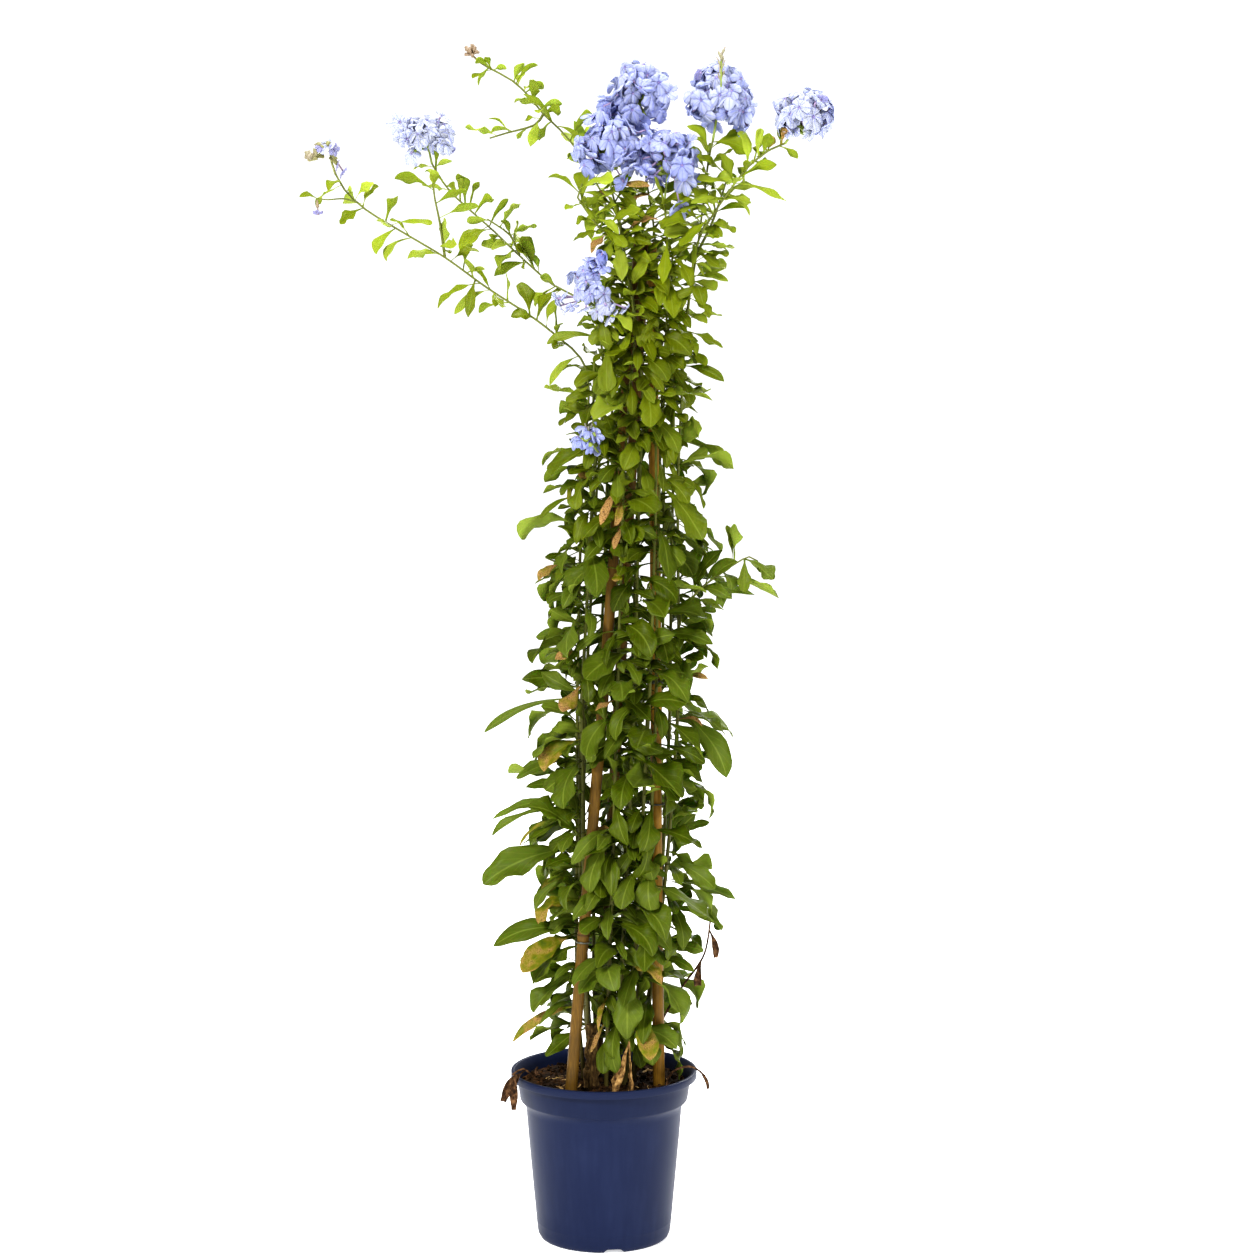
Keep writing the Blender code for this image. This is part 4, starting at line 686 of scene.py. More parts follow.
def floretPlaces(name):
    # Florets spread evenly over a head by the golden angle, none of them under its stalk.
    centre, halves, count, size = blooms["heads"][name]
    middle, size = metres(centre), size * mm
    draw = random.Random(name)
    places = []
    for index in range(count):
        rise = 1 - (index + 0.5) / count * 1.72
        angle = index * goldenTurn + draw.uniform(0, 0.5)
        flat = math.sqrt(max(0.0, 1 - rise * rise))
        outward = Vector((flat * math.cos(angle), flat * math.sin(angle), rise))
        tilt = Vector((draw.uniform(-0.3, 0.3), draw.uniform(-0.3, 0.3), draw.uniform(-0.1, 0.35)))
        shell = Vector([a * b * mm for a, b in zip(outward, halves)])
        throat = middle + shell * draw.uniform(0.8, 0.94)
        root = middle + shell * blooms["coreShare"] * 0.5
        places.append((throat, (outward + tilt).normalized(), size, root, draw.uniform(0, 1.2)))
    return places


def addFlorets(space):
    # the frame's own florets, which no leaf may touch
    for name in blooms["heads"]:
        for throat, outward, size, root, spin in floretPlaces(name):
            for attempt in range(9):
                shift = (throat - root).normalized() * (attempt * 0.9 * mm) * (-1) ** attempt
                shape = floretFaces(throat + shift, outward, size * (1 - 0.045 * attempt), root,
                                    spin + attempt * 0.3)
                if space.isFree(*shape, None):
                    space.add(*shape, name)
                    break


def aimedBlade(root, tip, width, draw):
    # A blade whose midrib runs from a root to a given tip, arching over on the way.
    reach = tip - root
    flat = math.hypot(reach.x, reach.y)
    slope = math.atan2(reach.z, flat)
    arch = draw.uniform(0.25, 0.5)
    length = reach.length * (1 + arch * arch / 6)
    blade = Blade(root, math.atan2(reach.y, reach.x), (slope + arch, slope - arch), length, width,
                  wave=draw.uniform(0, 6))
    front = Vector((draw.uniform(-0.5, 0.5), -1 if root.y < 20 * mm else 1, draw.uniform(0.2, 1.1)))
    return blade.face(front.normalized(), draw.uniform(0.75, 1.0))


def witheredBlades(name):
    path = deadRoute(name)
    draw = random.Random(name)
    blades = []
    for share, tip, width in deadGrowth["stems"][name][1]:
        root = walk(path, pathLength(path) * share)[0]
        blades.append(aimedBlade(root, metres(tip), width * mm, draw))
    return blades


def stationsFor(length):
    if length > 60 * mm:
        return (0.14, 0.4, 0.65, 0.88)
    if length > 42 * mm:
        return (0.3, 0.58, 0.86)
    return (0.42, 0.82)


def lay(space, blade, owner, room=leafRule["clear"]):
    stations = stationsFor(blade.length)
    if not space.isFree(*bladeFaces(blade, stations, room), owner):
        return False
    space.add(*bladeFaces(blade, stations), None)
    return True


def seenAt(across, down, front):
    # The place that the photo shows at a pixel, a given distance in front of the pot's centre.
    right = (across - view["middle"]) / view["focal"]
    rise = (view["middle"] - down) / view["focal"]
    ray = Vector((right, math.cos(view["drop"]) + rise * math.sin(view["drop"]),
                  rise * math.cos(view["drop"]) - math.sin(view["drop"])))
    return view["eye"] + ray * ((-front - view["eye"].y) / ray.y)


def photoPixel(point):
    away = point - view["eye"]
    forward = away.y * math.cos(view["drop"]) - away.z * math.sin(view["drop"])
    up = away.y * math.sin(view["drop"]) + away.z * math.cos(view["drop"])
    return view["middle"] + view["focal"] * away.x / forward, view["middle"] - view["focal"] * up / forward


def atHeight(path, height):
    for start, end in zip(path, path[1:]):
        if start.z <= height < end.z:
            return start.lerp(end, (height - start.z) / (end.z - start.z))
    return None


def carrier(routes, seen, roots):
    # The stem or twig that a leaf in the photo grows on: near its root there, towards the front,
    # and with no other root close by.
    best = None
    for name, path in routes.items():
        for drop in (0, -9 * mm, 9 * mm, -17 * mm):
            spot = atHeight(path, seen.z + drop)
            if spot is None:
                continue
            crowd = sum(1 for other in roots.get(name, []) if (other - spot).length < 9 * mm)
            cost = abs(spot.x - seen.x) + 0.5 * max(0, spot.y - seen.y) + 0.4 * abs(drop) + crowd * 14 * mm
            if spot.y > 12 * mm > seen.y and spot.x < 60 * mm:
                cost += 30 * mm
            if seen.y > 12 * mm:
                cost += 0.8 * max(0, seen.y - spot.y)
            if best is None or cost < best[0]:
                best = (cost, name, spot)
    return best[1:]


def laidSeenLeaves(space, routes, laid, rows=seenLeaves, seed="seen leaves", room=leafRule["clear"]):
    draw = random.Random(seed)
    roots = {}
    for across, down, tipAcross, tipDown, wide, front in rows:
        seen = seenAt(across, down, min(34, front * 0.55) * mm)
        tip = seenAt(tipAcross, tipDown, front * mm)
        width = wide * (tip - view["eye"]).length / view["focal"]
        name, root = carrier(routes, seen, roots)
        for attempt in range(16):
            push = Vector([draw.uniform(-1.5, 1.5) * attempt for _ in range(3)]) * mm
            blade = aimedBlade(root, tip + push, width * (1 - 0.02 * attempt), draw)
            if lay(space, blade, name, room):
                blade.seen = True
                laid[name].append(blade)
                roots.setdefault(name, []).append(root)
                break
    return roots


def freeBlade(spot, ahead, turn, size, draw, inColumn):
    # A leaf turned outwards from the column, or round a branch that has left it.
    length, width = size
    if inColumn:
        centre = Vector((between(column["table"], spot.z / mm, 1) * mm, 0, spot.z))
        out = spot - centre
        azimuth = math.atan2(out.y, out.x) + turn * 0.5 + draw.uniform(-0.4, 0.4)
        droop = draw.uniform(0.8, 1.6)
        first = draw.uniform(-0.3, 0.7)
        blade = Blade(spot, azimuth, (first, first - droop), length, width, 0.0, draw.uniform(-0.4, 0.4),
                      draw.uniform(-0.12, 0.12), draw.uniform(0, 6))
        light = out.normalized() + Vector((draw.uniform(-0.4, 0.4), draw.uniform(-0.4, 0.4),
                                           draw.uniform(0.2, 1.2)))
        return blade.face(light.normalized(), draw.uniform(0.6, 1.0))
    side = ahead.cross(Vector((0, 0, 1))).normalized()
    over = side.cross(ahead)
    out = side * math.sin(turn) + over * (math.cos(turn) + 0.35) + ahead * draw.uniform(0.2, 0.9)
    azimuth = math.atan2(out.y, out.x)
    first = math.atan2(out.z, math.hypot(out.x, out.y))
    return Blade(spot, azimuth, (first, first - draw.uniform(0.2, 0.9)), length, width,
                 draw.uniform(-0.7, 0.7), draw.uniform(-0.4, 0.4), draw.uniform(-0.15, 0.15),
                 draw.uniform(0, 6))


def laidLeaves(space, routes):
    laid = {name: [] for name in routes}
    roots = laidSeenLeaves(space, routes, laid)
    for name, path in routes.items():
        draw = random.Random(name)
        columnTop = stems["routes"][name][2] * mm if name in stems["routes"] else 0
        total = pathLength(path)
        distance = 9 * mm
        if name in stems["routes"]:
            distance = draw.uniform(0, 14) * mm + (leafRule["from"] - column["foot"]) * mm
        turn = draw.uniform(0, math.tau)
        while distance < total - 4 * mm:
            spot, ahead = walk(path, distance)
            if any((root - spot).length < 11 * mm for root in roots.get(name, [])):
                distance += 6 * mm
                continue
            height = spot.z / mm
            spacing, length, width = (between(leafRule["sizes"], height, index) for index in (1, 2, 3))
            inColumn = spot.z < columnTop
            if not inColumn:
                length *= 0.86
                width *= 0.9
            for attempt in range(leafRule["tries"]):
                scale = draw.uniform(0.75, 1.2) * (1 - 0.014 * attempt)
                spread = math.remainder(turn, math.tau) + draw.uniform(-0.1, 0.1) * attempt
                size = (length * scale * mm, width * scale * draw.uniform(0.85, 1.15) * mm)
                blade = freeBlade(spot, ahead, spread, size, draw, inColumn)
                if lay(space, blade, name):
                    laid[name].append(blade)
                    break
            turn += math.radians(leafRule["phyllotaxis"])
            distance += spacing * mm * draw.uniform(0.8, 1.2)
    return laid


def grown():
    # What is taken already, and the routes and large leaves of the whole plant.
    space = Space()
    for name in canes["lines"]:
        start, end = caneLine(name)
        path = [start.lerp(end, step / 12) for step in range(13)]
        addTube(space, path, [canes["radius"][0] + 1.2 * mm] * 13, name)
    routes = {name: stemRoute(name) for name in stems["routes"]}
    routes.update({name: twigRoute(name) for name in twigs["routes"]})
    for name, path in routes.items():
        isStem = name in stems["routes"]
        thick = taper(path, stems["radius"], stems["taperTop"]) if isStem else taper(path, twigs["radius"])
        addTube(space, path, [radius + leafRule["clear"] for radius in thick], name)
    for name in deadGrowth["stems"]:
        path = deadRoute(name)
        addTube(space, path, [deadGrowth["radius"][0] + leafRule["clear"] * 2] * len(path), name)
        for blade in witheredBlades(name):
            space.add(*bladeFaces(blade, stationsFor(blade.length), leafRule["clear"]), name)
    stub = metres((*crown["place"], 0))
    rise = [Vector((0, 0, height)) for height in (soil["top"], crown["top"])]
    addTube(space, [stub + rise[0], stub + rise[1]], [crown["radius"] * 1.3] * 2, "crown")
    for name, (place, lean, radius, thick) in tiePlaces().items():
        half = lean * (thick + leafRule["clear"])
        addTube(space, [place - half, place + half], [radius + thick + leafRule["clear"]] * 2, name)
    addFlorets(space)
    for name in blooms["heads"]:
        addTube(space, bloomStalk(name, routes), [blooms["stalkRadius"] + leafRule["clear"]] * 3, name)
    return space, routes, laidLeaves(space, routes)


space, routes, leaves = grown()
print("growth laid:", sum(len(blades) for blades in leaves.values()), "leaves on", len(routes), "shoots")


# Fine leaves: the small ones in the leaf axils and along the shoots, too many for the frame.

fineLeaves = {
    # height, spacing along the shoot, shortest and longest
    "sizes": ((170, 17, 24, 54), (450, 13, 24, 52), (700, 12, 20, 46), (860, 14, 20, 42), (960, 13, 17, 36),
              (1080, 11, 11, 26)),
    "slimness": (0.32, 0.46),
    "branchSlimness": (0.36, 0.55),
    "branchTurn": (-0.8, 0.8),
    "branchPitch": (-0.7, 0.5),
    "thin": ("stem_left", "stem_left_back", "stem_back_left", "fork_low", "fork_mid"),  # leaves in clumps
    "thinSpacing": 2.6,
    "tries": 14,
    "clear": 0.15 * mm,
    "inward": 0.25,  # share of the column's leaves that don't turn outwards
    "aside": (0.3, 1.0),  # how far the others turn off to one side
    "pitch": (-0.8, 1.1),
    "droop": (-0.2, 1.1),
    "light": ((-0.6, 0.6), (-0.6, 0.6), (0.0, 1.0)),
}


# smaller leaves that the photo shows, in the same terms as the large ones
seenSmallLeaves = (
    (572, 128, 591, 112, 9, 6), (567, 134, 583, 146, 9, -4), (587, 120, 602, 119, 8, -8),
    (585, 155, 566, 157, 8, -10), (582, 205, 584, 172, 18, 20), (618, 178, 650, 187, 9, 40),
    (604, 196, 586, 236, 20, 30), (622, 215, 611, 196, 10, 34), (630, 214, 641, 198, 10, 32),
    (622, 190, 636, 207, 8, 38), (655, 200, 661, 184, 12, 34), (648, 204, 652, 186, 9, 36),
    (690, 208, 663, 198, 12, 28), (712, 196, 690, 184, 16, 18), (708, 188, 736, 178, 12, 14),
    (727, 132, 751, 152, 16, 10), (752, 147, 742, 183, 18, 14), (712, 140, 692, 124, 14, 16),
    (706, 156, 682, 147, 10, 22), (706, 168, 684, 151, 8, 18), (716, 141, 718, 119, 12, 18),
    (722, 129, 749, 142, 13, 4), (712, 158, 729, 159, 6, 12), (762, 148, 762, 128, 8, 24),
    (766, 152, 775, 138, 9, 26), (776, 146, 783, 122, 13, 30), (757, 184, 785, 203, 8, 20),
    (748, 190, 751, 203, 6, 22), (715, 199, 753, 184, 11, 20), (724, 212, 746, 206, 7, 12),
    (745, 206, 759, 221, 6, 14), (694, 216, 664, 236, 18, 30), (652, 236, 673, 224, 11, 34),
    (700, 228, 723, 237, 12, 18), (698, 242, 718, 258, 14, 20), (646, 224, 650, 243, 11, 40),
    (640, 232, 624, 246, 12, 38), (650, 240, 680, 251, 14, 32), (664, 262, 641, 262, 12, 42),
    (668, 278, 659, 306, 14, 40), (652, 268, 634, 282, 14, 36), (640, 262, 622, 276, 14, 30),
    (676, 262, 692, 246, 12, 24), (608, 196, 598, 214, 11, 30), (600, 214, 576, 222, 10, 24),
    (630, 228, 606, 232, 13, 36), (684, 288, 676, 312, 13, 30), (640, 300, 652, 322, 13, 46),
    (620, 318, 640, 336, 14, 44), (660, 320, 640, 346, 13, 44), (676, 330, 668, 352, 13, 34),
    (606, 300, 592, 322, 12, 40), (628, 342, 606, 338, 13, 46), (690, 350, 706, 366, 10, 18),
    (644, 356, 660, 344, 12, 44), (606, 360, 626, 372, 14, 46), (650, 374, 638, 396, 13, 48),
    (626, 392, 606, 410, 13, 46), (664, 392, 682, 404, 11, 30), (652, 402, 660, 426, 13, 44),
    (622, 418, 636, 440, 14, 52), (606, 440, 596, 462, 13, 46), (636, 452, 618, 462, 13, 50),
    (646, 436, 640, 456, 12, 52), (631, 392, 633, 412, 11, 56), (631, 427, 619, 441, 9, 60),
    (658, 438, 643, 447, 10, 48), (662, 436, 668, 468, 14, 34), (672, 456, 677, 478, 5, 30),
    (626, 492, 655, 498, 12, 58), (640, 503, 656, 512, 10, 52), (612, 502, 632, 505, 10, 62),
    (620, 512, 644, 534, 20, 60), (628, 532, 621, 557, 22, 56), (661, 530, 683, 540, 15, 40),
    (612, 545, 625, 565, 10, 66), (617, 553, 616, 582, 10, 66), (630, 578, 614, 611, 20, 56),
    (666, 628, 668, 662, 20, 56), (654, 597, 644, 605, 8, 50), (590, 402, 585, 430, 14, 40),
    (598, 352, 606, 392, 18, 50), (604, 314, 610, 338, 14, 54), (638, 370, 608, 393, 8, 58),
    (655, 366, 679, 362, 15, 36), (634, 340, 622, 353, 10, 56), (668, 326, 646, 329, 6, 50),
    (684, 378, 690, 403, 13, 22), (594, 471, 568, 474, 8, 40), (590, 474, 598, 487, 8, 50),
    (580, 570, 569, 587, 10, 36), (619, 526, 614, 549, 7, 66), (608, 492, 601, 524, 9, 64),
    (612, 500, 618, 524, 8, 66), (572, 655, 554, 661, 10, 44), (575, 690, 572, 666, 8, 30),
    (586, 699, 562, 704, 10, 50), (574, 722, 552, 741, 12, 36), (548, 742, 535, 752, 7, 20),
    (590, 768, 565, 777, 12, 36), (540, 798, 525, 787, 10, 18), (526, 818, 518, 841, 5, 30),
    (536, 818, 524, 849, 7, 32), (582, 790, 552, 801, 14, 40), (590, 826, 560, 847, 15, 60),
    (578, 896, 562, 883, 14, 36), (596, 868, 591, 897, 18, 66), (600, 668, 604, 697, 15, 64),
    (600, 700, 596, 712, 8, 68), (682, 705, 701, 700, 6, 20), (682, 711, 704, 722, 5, 20),
    (674, 740, 695, 745, 8, 24), (680, 758, 706, 756, 7, 20), (672, 704, 664, 737, 13, 50),
    (640, 806, 631, 832, 14, 58), (625, 842, 635, 861, 11, 60), (615, 846, 600, 881, 7, 66),
    (644, 845, 639, 860, 7, 66), (668, 868, 681, 881, 12, 40), (672, 896, 680, 908, 12, 36),
    (564, 918, 549, 933, 13, 28), (596, 972, 579, 994, 17, 70), (582, 976, 564, 991, 12, 60),
    (598, 935, 610, 966, 10, 72), (620, 950, 641, 968, 18, 56), (652, 1004, 644, 1046, 19, 68),
    (672, 965, 693, 971, 10, 36), (595, 998, 596, 1030, 5, 70), (597, 1022, 592, 1054, 5, 70),
    (606, 838, 578, 868, 17, 66), (604, 884, 584, 908, 14, 72), (596, 905, 606, 938, 13, 66),
    (604, 742, 590, 768, 15, 48), (590, 690, 602, 722, 13, 44), (606, 640, 598, 668, 13, 42),
    (648, 264, 628, 277, 18, 44), (654, 262, 673, 272, 14, 34), (650, 312, 633, 302, 14, 48),
    (640, 244, 652, 262, 14, 40), (660, 300, 644, 288, 12, 38), (612, 296, 644, 290, 17, 40),
    (612, 836, 586, 862, 17, 76), (613, 862, 583, 890, 17, 78), (612, 884, 582, 912, 17, 78),
    (611, 908, 580, 932, 16, 78), (606, 966, 572, 984, 16, 76), (620, 768, 604, 790, 16, 12),
    (618, 800, 604, 822, 16, 10), (616, 824, 602, 842, 16, 20), (580, 778, 590, 804, 12, 24),
    (604, 640, 600, 668, 10, 60), (610, 520, 600, 546, 12, 58), (606, 476, 618, 498, 13, 60),
    (748, 554, 733, 527, 18, 32), (752, 558, 772, 580, 16, 32), (748, 562, 744, 596, 17, 36),
    (716, 582, 722, 548, 18, 32), (704, 590, 733, 590, 14, 36), (726, 578, 716, 600, 12, 34),
    (741, 142, 744, 178, 17, 22), (726, 150, 741, 128, 12, 20), (736, 190, 762, 178, 12, 18),
    (722, 176, 700, 160, 13, 26), (716, 224, 736, 232, 12, 20), (700, 262, 722, 268, 13, 20),
    (360, 201, 374, 184, 12, 60), (356, 203, 352, 190, 8, 58), (366, 209, 341, 225, 12, 62),
    (401, 226, 432, 225, 8, 56), (399, 226, 395, 215, 8, 56), (402, 229, 374, 253, 11, 58),
    (443, 256, 406, 255, 9, 52), (446, 252, 441, 221, 16, 60), (448, 250, 467, 217, 14, 56),
    (451, 262, 478, 248, 10, 50), (477, 294, 437, 308, 9, 50), (464, 290, 455, 313, 9, 50),
    (471, 290, 470, 317, 11, 54), (489, 290, 471, 281, 9, 40), (489, 291, 507, 274, 10, 44),
    (491, 293, 496, 306, 8, 46), (481, 284, 483, 271, 6, 40), (533, 319, 512, 314, 15, 40),
    (535, 318, 548, 291, 11, 36), (545, 326, 553, 300, 8, 34), (434, 194, 431, 169, 14, 56),
    (439, 184, 456, 192, 12, -24), (448, 189, 461, 178, 6, -26), (437, 166, 451, 161, 9, -30),
    (436, 158, 441, 145, 8, -28), (433, 172, 423, 168, 5, -26), (478, 213, 494, 196, 10, -32),
    (487, 216, 508, 199, 6, -32), (476, 210, 467, 222, 9, -28), (506, 235, 537, 225, 10, -26),
    (520, 238, 530, 244, 7, -24), (504, 235, 492, 243, 11, -26), (500, 234, 482, 252, 14, -30),
    (506, 235, 502, 219, 9, -26), (526, 262, 494, 276, 11, -24), (520, 258, 519, 274, 7, -24),
    (525, 262, 527, 250, 8, -26), (556, 285, 540, 277, 10, -24), (540, 114, 489, 134, 11, -34),
    (532, 104, 514, 100, 13, -32), (530, 101, 545, 84, 10, -30), (536, 108, 561, 105, 10, -28),
    (541, 113, 560, 111, 12, -28), (538, 111, 532, 97, 9, -30), (514, 80, 524, 63, 9, -34),
    (516, 82, 538, 62, 6, -34), (513, 78, 507, 68, 7, -34), (488, 66, 476, 57, 8, -36),
    (490, 66, 485, 56, 6, -34), (572, 134, 581, 151, 11, -26), (580, 142, 574, 115, 9, -28),
)
coverLeaves = {  # more of the front, wherever the photo doesn't show a cane: pixels again
    "count": 1250,
    "from": (178, 1004),
    "above": (178, 345),
    "reach": ((170, 62), (500, 54), (700, 48), (860, 42), (1000, 36)),  # height and longest leaf
    "spread": ((170, 0.96), (820, 0.96), (900, 1.4), (980, 2.0)),  # height, share of its half width
    "slimness": (0.25, 0.4),
    "front": (14, 58),  # mm before the plant's middle
    "behind": (-46, 4),  # for every third leaf, which fills the back
    "ahead": (0.1, 0.7),  # how far a leaf comes forward, as a share of its reach
    "canesShow": ((564, 940, 586, 968), (564, 996, 586, 1092), (587, 775, 602, 826), (602, 580, 614, 632),
                  (648, 450, 666, 518), (650, 556, 668, 572), (650, 600, 668, 628), (652, 690, 668, 745),
                  (652, 795, 668, 856), (650, 985, 667, 1080)),
}


def hidesCane(blade):
    for t in (0.3, 0.5, 0.7, 0.85, 1.0):
        across, down = photoPixel(blade.frame(t)[0])
        for left, top, right, foot in coverLeaves["canesShow"]:
            if left - 5 < across < right + 5 and top < down < foot:
                return True
    return False


def laidCoverLeaves(laid):
    draw = random.Random("cover")
    roots = {}
    for index in range(coverLeaves["count"]):
        down = draw.uniform(*coverLeaves["from" if index % 3 else "above"])
        spot = seenAt(view["middle"], down, 30 * mm)
        centre, halfWidth = (between(column["table"], spot.z / mm, index) * mm for index in (1, 2))
        halfWidth *= between(coverLeaves["spread"], spot.z / mm, 1)
        off = draw.uniform(-1, 1) * halfWidth
        side, toward = ("behind", 1) if index % 3 == 1 else ("front", -1)
        depth = draw.uniform(*coverLeaves[side])
        seen = Vector((centre + off, -depth * mm, spot.z))
        name, root = carrier(routes, seen, roots)
        longest = between(coverLeaves["reach"], root.z / mm, 1)
        for _ in range(8):
            lean = draw.uniform(-0.95, 0.75)
            aside = draw.choice((-1, 1)) * math.cos(lean)
            reach = draw.uniform(0.42, 1.0) * longest * mm
            tip = root + Vector((aside, toward * draw.uniform(*coverLeaves["ahead"]), math.sin(lean))) * reach
            if abs(tip.x - centre) > halfWidth + 9 * mm:
                continue
            width = draw.uniform(*coverLeaves["slimness"]) * (tip - root).length
            blade = aimedBlade(root, tip, width, draw)
            blade.roll *= draw.uniform(0.3, 1.2)
            if (toward > 0 or not hidesCane(blade)) and lay(space, blade, name, fineLeaves["clear"]):
                laid[name].append(blade)
                roots.setdefault(name, []).append(root)
                break


def laidFineLeaves():
    laid = {name: [] for name in routes}
    laidSeenLeaves(space, routes, laid, seenSmallLeaves, "small leaves", fineLeaves["clear"])
    laidCoverLeaves(laid)
    for name, path in routes.items():
        draw = random.Random("fine " + name)
        columnTop = stems["routes"][name][2] * mm if name in stems["routes"] else 0
        total = pathLength(path)
        distance = 5 * mm if name in twigs["routes"] else 62 * mm
        turn = draw.uniform(0, math.tau)
        while distance < total - 2 * mm and name != "twig_right":
            spot, ahead = walk(path, distance)
            inColumn = spot.z < columnTop
            spacing, least, most = (between(fineLeaves["sizes"], spot.z / mm, index) for index in (1, 2, 3))
            for attempt in range(fineLeaves["tries"]):
                length = draw.uniform(least, most) * (1 - 0.03 * attempt) * mm
                slimness = draw.uniform(*fineLeaves["slimness" if inColumn else "branchSlimness"])
                spread = math.remainder(turn, math.tau) + draw.uniform(-0.3, 0.3) * attempt
                blade = freeBlade(spot, ahead, spread, (length, length * slimness), draw, inColumn)
                if not inColumn:
                    tip = draw.uniform(*fineLeaves["branchPitch"])
                    blade.azimuth += draw.uniform(*fineLeaves["branchTurn"])
                    blade.pitches = tuple(pitch + tip for pitch in blade.pitches)
                else:
                    first = draw.uniform(*fineLeaves["pitch"])
                    blade.pitches = (first, first - draw.uniform(*fineLeaves["droop"]))
                    blade.azimuth += draw.choice((-1, 1)) * draw.uniform(*fineLeaves["aside"])
                    if draw.random() < fineLeaves["inward"]:
                        blade.azimuth = draw.uniform(0, math.tau)
                    middle = between(column["table"], spot.z / mm, 1) * mm
                    out = Vector((spot.x - middle, spot.y, 0)).normalized()
                    light = out + Vector([draw.uniform(*span) for span in fineLeaves["light"]])
                    blade.face(light.normalized(), draw.uniform(0.6, 1.0))
                if not hidesCane(blade) and lay(space, blade, name, fineLeaves["clear"]):
                    laid[name].append(blade)
                    break
            turn += math.radians(leafRule["phyllotaxis"])
            clump = fineLeaves["thinSpacing"] if name in fineLeaves["thin"] and not inColumn else 1.0
            distance += spacing * clump * mm * draw.uniform(0.7, 1.3)
    return laid


fineBlades = laidFineLeaves()
print("fine leaves laid:", sum(len(blades) for blades in fineBlades.values()))


# Leaves: thin blades, smooth and slightly waxy above, paler and duller below.

leafLook = {
    "greens": (("#394502", 0.0), ("#4f5900", 0.5), ("#728016", 1.0)),  # from the oldest to the youngest; the oldest, low down, are also darkened as painted shade
    "paintedWashOut": 0.92,  # painted light: how much of its green the leaf painted brightest keeps
    "lit": 0.8,  # painted light: how much brighter a leaf is painted that stands clear of the column
    "rib": "#808c38",
    "yellowed": "#76700f",
    "dry": (("#5c4428", 0.32), ("#a5824f", 0.46), ("#8c6c40", 0.56), ("#553c26", 0.7)),
    "underside": "#5f6d20",
    "thick": 0.35 * mm,
    "veinPairs": 8,
    "basePower": (1.2, 1.9),  # high is a long wedge
    "tipPower": (0.5, 1.05),  # low is blunt, high is pointed
    "slim": (0.78, 0.96),
    "fold": (-0.1, 0.5),
    "ripple": (0.15, 0.5),
    "curl": (-0.6, 0.9),
    "twist": (-0.6, 0.6),
    "scallop": (0.05, 0.16),  # how much the outline waves
    "youthAndLessShadeFrom": (0.6, 0.42),  # height in metres where the leaves start to be younger and less darkened by painted shade, and over how much
}
# dry or yellowing leaves that the photo shows: pixel and how far gone
dryMarks = (
    (637, 186, 0.6), (633, 203, 0.7), (644, 223, 0.6), (587, 243, 0.75), (601, 243, 0.75), (601, 191, 0.7),
    (783, 127, 0.6), (771, 143, 0.6), (585, 474, 0.6), (571, 490, 0.4), (553, 564, 0.6), (604, 505, 0.85),
    (618, 500, 0.5), (617, 520, 0.5), (615, 538, 0.75), (616, 570, 0.4), (557, 660, 0.5), (571, 702, 0.6),
    (557, 764, 0.45), (536, 818, 0.4), (600, 828, 0.55), (706, 687, 0.75), (694, 718, 0.8),
    (552, 884, 0.42), (553, 907, 0.42), (548, 940, 0.42), (637, 972, 0.42), (645, 1028, 0.42),
    (520, 1036, 0.5), (595, 1016, 0.55), (594, 1040, 0.6), (598, 705, 0.85),
)


def markDryLeaves(blades):
    for across, down, amount in dryMarks:
        best = None
        for blade in blades:
            spot = blade.frame(0.6)[0]
            pixel = photoPixel(spot)
            cost = math.hypot(pixel[0] - across, pixel[1] - down) + 0.25 * (spot.y / mm + 60)
            if best is None or cost < best[0]:
                best = (cost, blade)
        best[1].dry = amount


